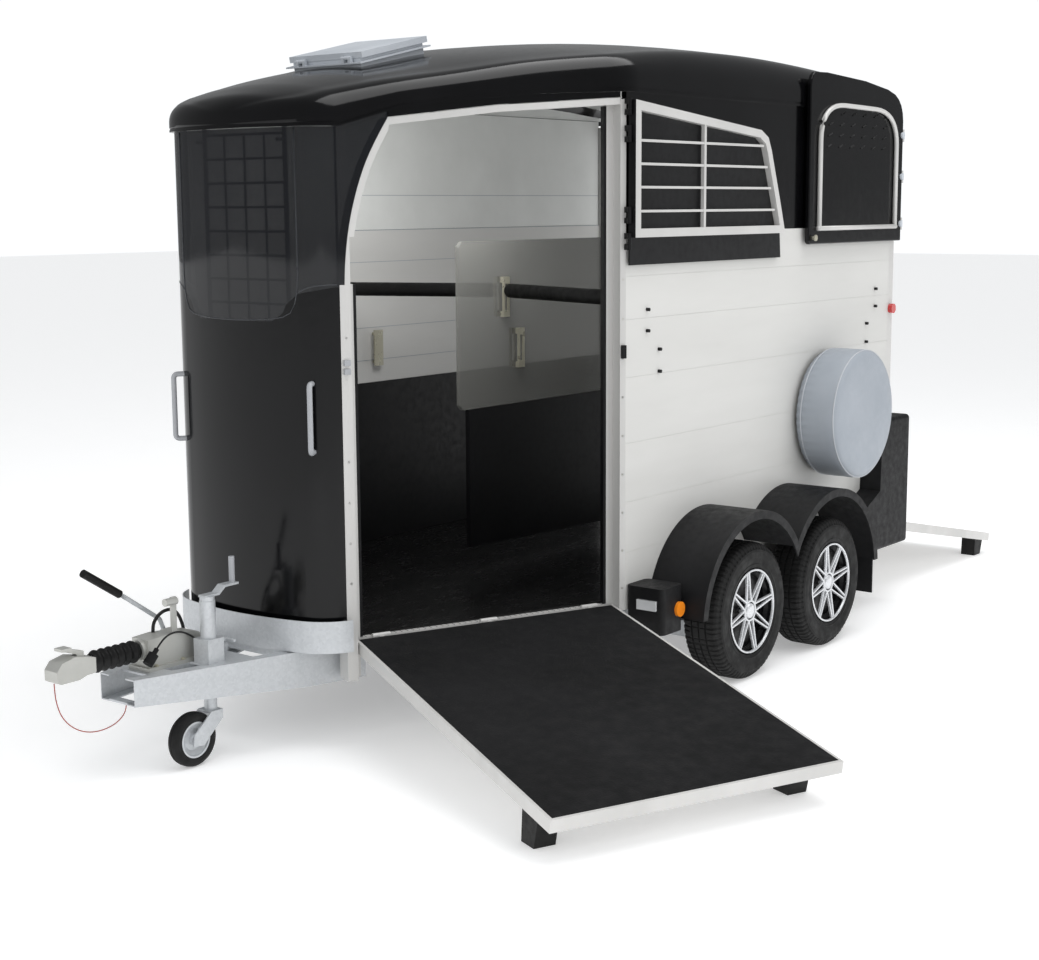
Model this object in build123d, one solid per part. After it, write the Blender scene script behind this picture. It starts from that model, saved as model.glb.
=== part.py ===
"""Twin-axle horse trailer with a side ramp in its tapered front, a rear ramp and top doors.

+X points rearwards, +Y to the offside, +Z up.  Lengths in millimetres.  The model is drawn about
the centre line with x = 0 at the rear post of the side doorway, and moved as it is written so that
the origin is on the ground at the middle of the footprint.
"""
from build123d import *
from math import asin, atan2, cos, degrees, hypot, radians, sin, sqrt, tan
import os

# ---- driving dimensions ----
half_width = 895.0          # outer face of the side walls
body_rear = 2380.0          # rear face of the rear frame
taper_angle = 23.2          # front side walls turn in by this much
doorway_width = 1219.0      # along the tapered wall, post to jamb
nose_corner_radius = 170.0
nose_turn = 15.0            # angle left for the wide front curve
wall_thickness = 30.0
lining_thickness = 8.0
shell_thickness = 24.0
floor_height = 400.0
deck_thickness = 22.0
mat_thickness = 8.0
wall_bottom = 378.3
wall_top = 1890.0
gutter_height = 2433.7
roof_height = 2700.0
roof_thickness = 22.0
roof_overhang = 10.0
shoulder_width = 105.0      # of the rounded roof edge
nose_bottom = 378.3
window_bottom = 1590.0
window_top = 2280.0
post_depth = 76.0           # of the doorway posts
rebate_depth = 50.0         # the closed ramp stands in it
rebate_width = 32.0
strip_width = 26.0
lining_top = 1170.0

# running gear
tyre_radius = 294.5
tyre_width = 185.0
rim_radius = 181.0
front_axle_x = 593.0
axle_spacing = 705.0
wheel_face = 1150.0         # rim face from the centre line
stub_radius = 30.0
running_fit = 0.05
beam_size = 70.0
guard_radius = 432.0
guard_wall = 14.0
guard_edge = 1168.0
rail_depth = 120.0
rail_width = 60.0
rail_offset = 500.0
edge_rail_depth = 54.0

# ramps
ramp_length = 1486.0
ramp_drop = 250.0           # of its far edge below the hinge
ramp_thickness = 46.0
rear_ramp_length = 1412.0
rear_ramp_drop = 285.0
ramp_mat_thickness = 7.0
foot_size = 80.0
ramp_gap = 3.0              # to the rebate around it
knuckle_radius = 9.0

# top doors
door_thickness = 34.0
door_gap = 4.0
door_bottom = 1765.0
top_door_fold = 180.0 + taper_angle
rear_door_thickness = 22.0
rear_door_bottom = 1817.0
rear_door_split = 60.0      # where the near door ends, past the centre line
rear_door_fold = 270.0

# drawbar, coupling and jockey wheel
drawbar_top = 368.0
drawbar_front = -1862.0
drawbar_front_y = 92.0
drawbar_slope = 0.292       # widening per unit of length
channel_front_depth = 96.0
channel_rear_depth = 140.0
channel_flange = 48.0
channel_wall = 5.0
coupling_height = 443.0
coupling_tip = -2141.0
coupling_length = 164.0
socket_radius = 25.5
socket_x = -2092.0
tube_radius = 22.5
housing_front = -1763.0
housing_rear = -1432.0
overrun = 0.08              # metres, as the joint range is
jockey_x = -1527.0
jockey_y = -108.0
jockey_radius = 24.0
sleeve_wall = 5.0
jockey_wheel_radius = 100.0
jockey_wheel_width = 55.0
jockey_trail = 95.0
lever_pivot = (-1572.0, 452.0)
lever_y = 78.0

# spare wheel
spare_x = 1658.0
spare_z = 1030.0
spare_face = 1125.0
cover_radius = 301.0
cover_wall = 6.0

# inside
partition_front = 40.0
partition_pivot = 1172.0
partition_top = 1850.0
partition_split = 1128.0
partition_low = 520.0
centre_post_x = 1222.0
centre_post_radius = 25.0
bar_radius = 31.0
bar_height = 1632.0

# ---- values worked out from them ----
turn = radians(taper_angle)
along = Vector(-cos(turn), sin(turn), 0)          # along the doorway, rear post to jamb
inward = Vector(sin(turn), cos(turn), 0)          # into the trailer through the doorway
post_corner = Vector(0, -half_width, 0)
jamb_corner = post_corner + along * doorway_width
blend_centre = jamb_corner + inward * nose_corner_radius
front_turn = radians(nose_turn)
rear_axle_x = front_axle_x + axle_spacing
doorway = Plane(origin=post_corner, x_dir=along, z_dir=inward)
ramp_tilt = asin(ramp_drop / ramp_length)
ramp_swing = 90 + degrees(ramp_tilt)
rear_ramp_tilt = asin(rear_ramp_drop / rear_ramp_length)
rear_ramp_swing = 90 + degrees(rear_ramp_tilt)
ramp_hinge = post_corner + inward * rebate_depth + Vector(0, 0, floor_height)
hinge_lead = 26.0
top_door_hinge = post_corner - inward * hinge_lead
rear_hinge_x = body_rear + 20
rear_hinge_y = half_width + roof_overhang + 14


def slab(x0, x1, y0, y1, z0, z1):
    """Box between two corners."""
    return Pos(x0, y0, z0) * Box(x1 - x0, y1 - y0, z1 - z0, align=(Align.MIN,) * 3)


def polygon(points):
    return make_face(Polyline(*points, close=True))


def level(points, z0, z1):
    """Prism over a plan outline."""
    return Pos(0, 0, z0) * extrude(polygon(points), z1 - z0)


def side_on(points, y0, y1):
    """Prism over an outline of x and z, from y0 to y1."""
    plane = Plane(origin=(0, y1, 0), x_dir=(1, 0, 0), z_dir=(0, -1, 0))
    return extrude(plane * polygon(points), y1 - y0)


def end_on(points, x0, x1):
    """Prism over an outline of y and z, from x0 to x1."""
    plane = Plane(origin=(x0, 0, 0), x_dir=(0, 1, 0), z_dir=(1, 0, 0))
    return extrude(plane * polygon(points), x1 - x0)


def rod(start, end, radius):
    """Round bar between two points."""
    start = Vector(*start)
    end = Vector(*end)
    plane = Plane(origin=start, z_dir=end - start)
    return extrude(plane * Circle(radius), (end - start).length)


def tube(start, end, radius, bore):
    return rod(start, end, radius) - rod(start, end, bore)


def wheel_disc(x, z, y0, y1, radius):
    return rod((x, y0, z), (x, y1, z), radius)


def in_doorway(s, depth):
    """Plan point at s along the tapered wall and a depth inside it."""
    point = post_corner + along * s + inward * depth
    return (point.X, point.Y)


def bent_rod(points, radius, bends):
    """Round bar along straight runs with rounded corners."""
    path = FilletPolyline(*points, radius=bends)
    return sweep(Plane(origin=path @ 0, z_dir=path % 0) * Circle(radius), path=path)


def other_side(shape):
    return mirror(shape, about=Plane.XZ)


def both_sides(shape):
    return [shape, other_side(shape)]


# ---- body shape in plan ----
def plan_half(inset):
    """Nearside plan points, the blend arc and front arc, of the body moved in by inset."""
    corner_shift = inset * tan(turn / 2)
    corner = Vector(corner_shift, -half_width + inset, 0)
    jamb = jamb_corner + inward * inset
    radius = nose_corner_radius - inset
    blend_end = blend_centre + Vector(-cos(front_turn), -sin(front_turn), 0) * radius
    middle_turn = (turn_from_front(jamb, radius) + front_turn) / 2
    blend_middle = blend_centre + Vector(-cos(middle_turn), -sin(middle_turn), 0) * radius
    return corner, jamb, blend_middle, blend_end


def turn_from_front(point, radius):
    """Angle of the blend arc where it meets the tapered wall."""
    arm = point - blend_centre
    return atan2(-arm.Y, -arm.X)


nose_x = blend_centre.X - cos(front_turn) * nose_corner_radius
nose_arc_radius = (nose_corner_radius * sin(front_turn) - blend_centre.Y) / sin(front_turn)
nose_tip = nose_x - (1 - cos(front_turn)) * nose_arc_radius


def plan_face(inset, rear=body_rear):
    """Body outline in plan, moved in by inset."""
    corner, jamb, middle, blend_end = plan_half(inset)
    tip = Vector(nose_tip + inset, 0, 0)

    def across(point):
        return Vector(point.X, -point.Y, 0)

    edges = [
        Line((rear - inset, -half_width + inset), corner),
        Line(corner, jamb),
        ThreePointArc(jamb, middle, blend_end),
        ThreePointArc(blend_end, tip, across(blend_end)),
        ThreePointArc(across(blend_end), across(middle), across(jamb)),
        Line(across(jamb), across(corner)),
        Line(across(corner), (rear - inset, half_width - inset)),
        Line((rear - inset, half_width - inset), (rear - inset, -half_width + inset)),
    ]
    return make_face(Curve() + edges)


def plan_solid(inset, z0, z1, rear=body_rear):
    return Pos(0, 0, z0) * extrude(plan_face(inset, rear), z1 - z0)


def plan_ring(outer, inner, z0, z1):
    """Wall that follows the body outline."""
    return plan_solid(outer, z0, z1) - plan_solid(inner, z0 - 1, z1 + 1)


def doorway_block(s0, s1, depth0, depth1, z0, z1):
    points = [in_doorway(s0, depth0), in_doorway(s1, depth0), in_doorway(s1, depth1), in_doorway(s0, depth1)]
    return level(points, z0, z1)


def doorway_prism(points, depth0, depth1):
    """Prism over an outline of s and z in the tapered wall."""
    return extrude(doorway.offset(depth0) * polygon(points), depth1 - depth0)


# the doorway's top edge as s and z: a curve up from the jamb, then a corner and two straight runs
arch_side = Spline((doorway_width - 20, 1721), (doorway_width - 27, 1828), (doorway_width - 45, 1945),
                   (doorway_width - 75, 2058), (doorway_width - 111, 2154), (doorway_width - 153, 2235),
                   (doorway_width - 202, 2315))
arch_steps = 18
arch_curve = [((arch_side @ (step / arch_steps)).X, (arch_side @ (step / arch_steps)).Y)
              for step in range(arch_steps + 1)]
arch = arch_curve + [(doorway_width - 650, 2369), (28, 2409)]


# ---- structure ----
def chassis_frame():
    top = floor_height - deck_thickness
    parts = []
    for side in (-1, 1):
        y = side * rail_offset
        parts.append(slab(-640, body_rear - 52, y - rail_width / 2, y + rail_width / 2, top - rail_depth, top))
    edge = plan_solid(4, top - edge_rail_depth, top, body_rear - 46)
    edge -= plan_solid(44, top - edge_rail_depth - 1, top + 1, body_rear - 46)
    edge -= doorway_block(-40, doorway_width + 2, -60, rebate_depth + 16, top - 80, top + 5)
    edge += doorway_block(0, doorway_width + 2, rebate_depth + 16, rebate_depth + 46, top - edge_rail_depth, top)
    edge += slab(-14, 44, -half_width + 70, -half_width + 130, top - edge_rail_depth, top)
    reach = half_width - 40
    for x in (60, 330, 850, 1100, 1560, 1850, 2120):
        edge += slab(x, x + 40, -reach, reach, top - edge_rail_depth, top)
    for x, reach in ((-320, 700), (-640, 560), (-960, 430)):
        edge += slab(x, x + 40, -reach, reach, top - edge_rail_depth, top)
    jamb_inner = doorway_width - strip_width - 16 - rebate_width
    edge -= doorway_block(jamb_inner - 0.3, doorway_width + 0.3, -9, post_depth + 0.3, top - 80, top + 5)
    edge -= doorway_block(-30, doorway_width, -60, rebate_depth + 16, top - 80, top + 5)
    edge -= slab(-1500, -960, -460, 460, 300, drawbar_top + 0.3)
    body = edge
    for rail in parts:
        body += rail
    for side in (-1, 1):
        y = side * rail_offset
        body -= slab(-700, body_rear, y - rail_width / 2 + 5, y + rail_width / 2 - 5,
                     top - rail_depth + 5, top - edge_rail_depth - 5)
    return body


def channel(side):
    """One drawbar channel, its web outwards, deeper towards the body."""
    rear = -960.3
    spread = drawbar_slope * (rear - drawbar_front)
    y_front = drawbar_front_y
    y_rear = drawbar_front_y + spread

    def beam(inset, z_low_front, z_low_rear, z_top):
        outline = [(drawbar_front - inset, -y_front + inset), (rear + inset, -y_rear + inset),
                   (rear + inset, -y_rear + channel_flange + inset * 2),
                   (drawbar_front - inset, -y_front + channel_flange + inset * 2)]
        block = level(outline, z_low_rear - 1, z_top)
        wedge = side_on([(drawbar_front - 20, z_low_front), (-1200, z_low_rear), (rear + 20, z_low_rear),
                         (rear + 20, z_top), (drawbar_front - 20, z_top)], -900, 0)
        return block & wedge

    outer = beam(0, drawbar_top - channel_front_depth, drawbar_top - channel_rear_depth, drawbar_top)
    inner = beam(channel_wall, drawbar_top - channel_front_depth + channel_wall,
                 drawbar_top - channel_rear_depth + channel_wall, drawbar_top - channel_wall)
    result = outer - inner
    return result if side < 0 else other_side(result)


def drawbar_frame():
    body = channel(-1) + channel(1)
    inner_front = drawbar_front_y - channel_flange + 4
    link_z = drawbar_top - channel_front_depth
    body += slab(drawbar_front, drawbar_front + 34, -inner_front, inner_front, link_z, link_z + 8)
    body += slab(housing_front - 20, housing_front + 70, -108, 108, drawbar_top - 8, drawbar_top)
    body += slab(housing_rear - 60, housing_rear + 50, -190, 190, drawbar_top - 8, drawbar_top)
    body += slab(jockey_x - 40, jockey_x + 40, -150, -45, drawbar_top - 8, drawbar_top)
    body += slab(-1182, -1142, -285, 285, drawbar_top - 60, drawbar_top)
    body -= rod((jockey_x, jockey_y, 200), (jockey_x, jockey_y, 420), jockey_radius + sleeve_wall + 0.3)
    return body


def front_skirt():
    """Galvanised apron under the nose, with the jamb feet."""
    front = plan_solid(-34, drawbar_top + 4, 492) - plan_solid(-30, drawbar_top, 500)
    front += plan_solid(-34, drawbar_top + 4, drawbar_top + 9) - plan_solid(3.7, drawbar_top, drawbar_top + 12)
    cut_x = jamb_corner.X - 4
    front &= slab(-1500, cut_x, -460, 460, drawbar_top, 520)
    return front


def floor_deck():
    clear = doorway_block(-60, doorway_width + 3, -80, post_depth + 1, 300, 500)
    bottom = floor_height - deck_thickness
    deck = plan_solid(wall_thickness + 1, bottom, floor_height, body_rear - 20) - clear
    mat = plan_solid(wall_thickness + lining_thickness + 4, floor_height, floor_height + mat_thickness,
                     body_rear - 40) - clear
    post = rod((centre_post_x, 0, 300), (centre_post_x, 0, 500), centre_post_radius + 0.3)
    return [deck, mat - post]


def plank_wall(y0, y1, x0, x1, z0, z1):
    """Side wall of interlocking planks, with a shallow groove at each joint."""
    wall = slab(x0, x1, y0, y1, z0, z1)
    outer = y0 if y0 < 0 else y1
    for z in (612, 818, 1056, 1320, 1550, 1720):
        wall -= slab(x0 - 1, x1 + 1, outer - 1.2, outer + 1.2, z, z + 3)
    return wall


def side_wall_near():
    return plank_wall(-half_width, -half_width + wall_thickness, 0, body_rear - 50, wall_bottom, wall_top)


def side_wall_off():
    wall = plan_ring(0, wall_thickness, wall_bottom, wall_top)
    wall &= slab(jamb_corner.X, body_rear - 50, 100, half_width + 10, 300, 2000)
    cut = [(jamb_corner.X, -jamb_corner.Y), in_mirror(doorway_width, 60), (jamb_corner.X - 100, 0),
           (jamb_corner.X - 300, 900)]
    wall -= level(cut, 300, 2000)
    return wall


def in_mirror(s, depth):
    x, y = in_doorway(s, depth)
    return (x, -y)


def wall_linings():
    """Rubber kick linings inside the two side walls."""
    inner = wall_thickness + 0.3
    ring = plan_ring(inner, inner + lining_thickness, floor_height + 0.3, lining_top)
    near = ring & slab(6, body_rear - 52, -half_width, -half_width + 60, 300, 1300)
    off = ring & slab(jamb_corner.X + 40, body_rear - 52, 330, half_width, 300, 1300)
    return [near, off]


def nose_wall():
    """Nose wall from jamb to jamb, full height."""
    wall = plan_ring(0, shell_thickness, nose_bottom, 2340) - above_roof_edge()
    keep = level([(jamb_corner.X - 0.3 - 400, -700), (jamb_corner.X, -700), in_doorway(doorway_width + 0.5, -20),
                  in_doorway(doorway_width + 0.5, post_depth + 30), in_mirror(doorway_width + 0.5, post_depth + 30),
                  in_mirror(doorway_width + 0.5, -20), (jamb_corner.X, 700), (jamb_corner.X - 400, 700)],
                 300, 2500)
    return wall & keep


def window_region():
    """Front view of what is glazed: deep in the middle, higher at the jambs."""
    half = [(-235, window_bottom + 30), (-252, window_bottom + 62), (-300, window_bottom + 100),
            (-440, window_bottom + 130), (-600, window_bottom + 134)]
    bottom = [(-190, window_bottom)] + half
    mirrored = [(-y, z) for y, z in bottom]
    return mirrored[::-1] + bottom + [(-600, 2600), (600, 2600)]


def nose_shell():
    return nose_wall() - end_on(window_region(), -1400, -900)


def arch_filler():
    """Glazed strip between the doorway's curved edge and the nose corner."""
    curve = [(s + 0.5, z + 0.2) for s, z in arch_curve]
    top = (curve[-1][0], 2450)
    strip = doorway_prism([(doorway_width + 0.2, arch[0][1])] + curve + [top, (doorway_width + 0.2, 2450)],
                          2, 2 + shell_thickness)
    return strip - above_roof_edge()


def front_window():
    pane = nose_wall() & end_on(window_region(), -1400, -900)
    return [pane, arch_filler()]


def window_grille():
    """Guard bars behind the front window, on two uprights."""
    x = nose_tip + shell_thickness + 60
    inner_radius = nose_arc_radius - shell_thickness
    bars = Part()
    for y in (-210, 210):
        bars += rod((x, y, 1500), (x, y, 2290), 9)
    for step in range(9):
        z = 1560 + step * 88
        bars += rod((x, -212, z), (x, 212, z), 5)
    for y in (-105, 0, 105):
        bars += rod((x, y, 1558), (x, y, 2266), 5)
    for y in (-210, 210):
        for z in (1520, 2240):
            sag = inner_radius - sqrt(inner_radius ** 2 - (abs(y) + 7) ** 2)
            bars += rod((x, y, z), (nose_tip + shell_thickness + sag + 0.2, y, z), 7)
    return bars


def above_roof_edge():
    """Everything higher than the roof's lower edge."""
    line = [(x, edge - 0.3) for x, _, _, edge in roof_stations()]
    return side_on(line + [(body_rear + 10, 2434), (body_rear + 10, 2900), (line[0][0], 2900)], -1500, 1500)


def upper_side_panels():
    """Black panels between the plank walls and the roof."""
    near = slab(0.5, body_rear - 50, -half_width, -half_width + 22, wall_top + 0.2, gutter_height)
    header = doorway_prism([(strip_width, 2412), (doorway_width - 650, 2372), (doorway_width - 205, 2318),
                            (doorway_width - 205, 2450), (strip_width, 2450)], 2, 24)
    off = plan_ring(0, 22, wall_top + 0.2, gutter_height)
    off &= slab(jamb_corner.X, body_rear - 50, 100, half_width + 10, 1800, 2600)
    off -= level([(jamb_corner.X, -jamb_corner.Y), in_mirror(doorway_width, 60), (jamb_corner.X - 100, 0),
                  (jamb_corner.X - 300, 900)], 1800, 2600)
    return [near, header - above_roof_edge(), off - above_roof_edge()]


# ---- roof ----
# crown height along the trailer, as x and z, then the edge and half width at the same stations
def roof_stations():
    rise = roof_height
    full = half_width + roof_overhang
    jamb_x = jamb_corner.X
    jamb_w = -jamb_corner.Y + roof_overhang + 4
    slope = (full - jamb_w) / -jamb_x
    front_edge = window_top + 2
    rows = [(nose_tip - 24, 140, rise - 318, front_edge), (nose_tip + 10, 262, rise - 306, front_edge),
            (nose_tip + 44, 330, rise - 295, front_edge), (jamb_x, jamb_w, rise - 258, front_edge)]
    for x, drop, edge in ((-900, 206, 2352), (-650, 158, 2386), (-350, 100, 2416), (0, 52, 2434)):
        rows.append((x, full + slope * x, rise - drop, edge))
    for x, drop in ((450, 12), (950, 0), (1450, 12), (1950, 44), (body_rear - 2, 96)):
        rows.append((x, full, rise - drop, 2434))
    return rows


def roof_outline(width, crown, edge, inset):
    """Cross-section with rounded shoulders and a shallow crown, as y and z."""
    side = width - inset
    shoulder = crown - 66 * width / (half_width + roof_overhang)
    shoulder_y = width - min(shoulder_width, width * 0.45)
    top = shoulder - inset
    low = edge + (top - edge) * 0.35
    half = [(side, edge - inset), (side, low)]
    for step in (1, 2, 3):
        angle = radians(22.5 * step)
        half.append((shoulder_y + (side - shoulder_y) * cos(angle), low + (top - low) * sin(angle)))
    for share in (1.0, 0.66, 0.33):
        y = shoulder_y * share
        half.append((y, crown - inset - (crown - shoulder) * share ** 2))
    return half + [(0, crown - inset)] + [(-y, z) for y, z in reversed(half)]


def roof_solid(inset):
    sections = []
    rows = roof_stations()
    for index, (x, width, crown, edge) in enumerate(rows):
        shift = inset if index == 0 else (1 if index == len(rows) - 1 and inset else 0)
        outline = roof_outline(width, crown, edge, inset)
        sections.append(Plane(origin=(x + shift, 0, 0), x_dir=(0, 1, 0), z_dir=(1, 0, 0)) * polygon(outline))
    return loft(sections, ruled=True)


vent_x = -545.0
vent_length = 372.0
vent_width = 352.0
vent_pitch = 12.6
vent_height = 2569.0
vent_plane = Plane(origin=(vent_x, 0, vent_height),
                   x_dir=(cos(radians(vent_pitch)), 0, sin(radians(vent_pitch))),
                   z_dir=(-sin(radians(vent_pitch)), 0, cos(radians(vent_pitch))))


def vent_block(length, width, low, high, shift=0.0):
    return vent_plane * slab(shift - length / 2, shift + length / 2, -width / 2, width / 2, low, high)


def roof_shell():
    shell = roof_solid(0) - roof_solid(roof_thickness)
    shell -= vent_block(vent_length + 1, vent_width + 1, -80, 80)
    return shell


def vent_frame():
    ring = vent_block(vent_length, vent_width, -28, 26)
    ring += vent_block(vent_length + 44, vent_width + 44, 8, 14)
    ring -= vent_block(vent_length - 28, vent_width - 28, -60, 60)
    hinge_u = -vent_length / 2 - 12
    for v in (-120, 120):
        ring += vent_plane * slab(hinge_u - 8, hinge_u + 8, v - 24, v - 10, 12, 30)
        ring += vent_plane * slab(hinge_u - 8, hinge_u + 8, v + 10, v + 24, 12, 30)
        ring += vent_plane * rod((hinge_u, v - 12, 30), (hinge_u, v + 12, 30), 3)
        for end in (-24, 10):
            ring += vent_plane * rod((hinge_u, v + end, 30), (hinge_u, v + end + 14, 30), 8)
    return ring


def vent_lid():
    lid = vent_block(vent_length + 16, vent_width + 30, 27, 50, shift=6)
    lid -= vent_block(vent_length + 8, vent_width + 22, 20, 46, shift=6)
    hinge_u = -vent_length / 2 - 12
    for v in (-120, 120):
        lug = rod((hinge_u, v - 9.6, 30), (hinge_u, v + 9.6, 30), 7.5)
        lug += slab(hinge_u, -vent_length / 2 + 8, v - 9.6, v + 9.6, 31, 37.5)
        lug -= rod((hinge_u, v - 12, 30), (hinge_u, v + 12, 30), 3 + running_fit)
        lid += vent_plane * lug
    return lid


# ---- doorway ----
def offset_path(points, distance):
    """Points moved sideways from an open path, to its left."""
    moved = []
    for index, point in enumerate(points):
        before = points[max(index - 1, 0)]
        after = points[min(index + 1, len(points) - 1)]
        length = hypot(after[0] - before[0], after[1] - before[1])
        normal = (-(after[1] - before[1]) / length, (after[0] - before[0]) / length)
        moved.append((point[0] + normal[0] * distance, point[1] + normal[1] * distance))
    return moved


top_hinge_heights = (1858.0, 1960.0, 2272.0, 2376.0)
pin_radius = 5.0
lug_half = 9.6


def doorway_frame():
    """Rear post, front jamb, arched trim and threshold of the side doorway."""
    deep = post_depth
    rear_post = level([(0, -half_width), in_doorway(strip_width, 0), in_doorway(strip_width, rebate_depth + 2),
                       in_doorway(strip_width + rebate_width, rebate_depth + 2),
                       in_doorway(strip_width + rebate_width, deep), (0, -half_width + 82)], wall_bottom, 2404)
    jamb_in = doorway_width - strip_width - 16
    jamb = level([in_doorway(jamb_in, 0), in_doorway(doorway_width, 0), in_doorway(doorway_width, deep),
                  in_doorway(jamb_in - rebate_width, deep), in_doorway(jamb_in - rebate_width, rebate_depth + 2),
                  in_doorway(jamb_in, rebate_depth + 2)], 250, arch[0][1])
    band = arch + offset_path(arch, 25)[::-1]
    trim = doorway_prism(band, 0, deep)
    ramp_room = doorway_block(strip_width, jamb_in, -1, rebate_depth + 2, floor_height, floor_height + ramp_length + 6)
    frame = rear_post + (jamb + trim - ramp_room)
    lug_depth = rebate_depth + 3
    sill = doorway_block(10, doorway_width - 10, lug_depth, deep, floor_height - 9, floor_height - 0.2)
    for s in ramp_hinge_places:
        sill -= rod(ramp_hinge + along * (s - lug_half - 0.5), ramp_hinge + along * (s + lug_half + 0.5),
                    knuckle_radius + 0.5)
    for s in ramp_hinge_places:
        for side in (-1, 1):
            start = s + side * (lug_half + 0.5)
            end = start + side * 26
            near = ramp_hinge + along * start
            far = ramp_hinge + along * end
            sill += rod(near, far, knuckle_radius)
            sill += doorway_block(min(start, end), max(start, end), rebate_depth, lug_depth + 2,
                                  floor_height - 9, floor_height - 0.2)
        sill += rod(ramp_hinge + along * (s - 12), ramp_hinge + along * (s + 12), pin_radius)
    for z in top_hinge_heights:
        axis = top_door_hinge
        for side in (-1, 1):
            low = z + side * (lug_half + 0.5)
            high = low + side * 22
            frame += rod((axis.X, axis.Y, low), (axis.X, axis.Y, high), 8)
            frame += Pos(0, 0, min(low, high)) * extrude(make_face(Polyline(
                in_doorway(-1, -hinge_lead), in_doorway(5, -hinge_lead), in_doorway(9, 4), in_doorway(4, 4),
                close=True)), 22)
        frame += rod((axis.X, axis.Y, z - 12), (axis.X, axis.Y, z + 12), pin_radius)
    return frame + sill


ramp_hinge_places = (140.0, 600.0, 1060.0)


def doorway_seal():
    """Rubber strips in the doorway's rebate, behind the closed ramp."""
    depth = rebate_depth + 2
    rear = doorway_block(strip_width + rebate_width + 0.3, strip_width + rebate_width + 12, depth, post_depth,
                         floor_height + 2, 2378)
    front_s = doorway_width - strip_width - 16 - rebate_width
    front = doorway_block(front_s - 12, front_s - 0.3, depth, post_depth, floor_height + 2, arch[0][1] - 2)
    return [rear, front]


# ---- side ramp, drawn closed ----
ramp_start = 12.0
ramp_left = strip_width + ramp_gap + 3
ramp_right = doorway_width - strip_width - 16 - ramp_gap - 3


def ramp_panel(left, right, length, drop, foot_back, hinge_places):
    """Closed ramp: x across, y outwards from its walking face, z up from the hinge."""
    tilt = asin(drop / length)
    panel = slab(left, right, ramp_mat_thickness, ramp_thickness, ramp_start, length)
    edge = 12
    for x0, x1 in ((left, left + edge), (right - edge, right)):
        panel += slab(x0, x1, 1, ramp_mat_thickness + 1, ramp_start, length)
    panel += slab(left, right, 1, ramp_mat_thickness + 1, length - edge, length)

    def ground(h):
        return (floor_height - h * sin(tilt)) / cos(tilt)

    for x in (left + 30, right - 30 - foot_size):
        low = length - foot_back - foot_size
        high = length - foot_back
        foot = extrude(Plane(origin=(x, 0, 0), x_dir=(0, 1, 0), z_dir=(1, 0, 0)) * polygon(
            [(ramp_thickness - 1, low - 14), (ground(low), low), (ground(high), high),
             (ramp_thickness - 1, high + 10)]), foot_size)
        panel += foot
    for x in hinge_places:
        lug = rod((x - lug_half, 0, 0), (x + lug_half, 0, 0), knuckle_radius)
        lug += slab(x - lug_half, x + lug_half, 0, 9, 0, ramp_start + 1)
        panel += lug
        panel -= rod((x - lug_half - 1, 0, 0), (x + lug_half + 1, 0, 0), pin_radius + running_fit)
    return panel


def ramp_mat(left, right, length):
    return slab(left + 12.5, right - 12.5, 0, ramp_mat_thickness - 0.2, ramp_start + 6, length - 12.5)


# across, outwards and up as the closed side ramp stands
side_ramp_frame = Plane(origin=ramp_hinge, x_dir=along, z_dir=(0, 0, 1))


def place_side_ramp(shape):
    """From the drawn axes to the doorway, then lowered to the ground."""
    return (side_ramp_frame * shape).rotate(Axis(ramp_hinge, along), -ramp_swing)


def side_ramp():
    return place_side_ramp(ramp_panel(ramp_left, ramp_right, ramp_length, ramp_drop, 131, ramp_hinge_places))


def side_ramp_mat():
    return place_side_ramp(ramp_mat(ramp_left, ramp_right, ramp_length))


# ---- rear frame, rear ramp and rear doors ----
rear_ramp_half = half_width - 14
rear_hinge = Vector(body_rear, 0, floor_height)
rear_places = (-700.0, 0.0, 700.0)


def place_rear_ramp(shape):
    placed = Plane(origin=rear_hinge, x_dir=(0, -1, 0), z_dir=(0, 0, 1)) * shape
    return placed.rotate(Axis(rear_hinge, (0, 1, 0)), rear_ramp_swing)


def rear_ramp():
    panel = ramp_panel(-rear_ramp_half, rear_ramp_half, rear_ramp_length, rear_ramp_drop, 30, rear_places)
    mat = ramp_mat(-rear_ramp_half, rear_ramp_half, rear_ramp_length)
    return [place_rear_ramp(panel), place_rear_ramp(mat)]


rear_hinge_heights = (1900.0, 2130.0, 2330.0)


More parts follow.
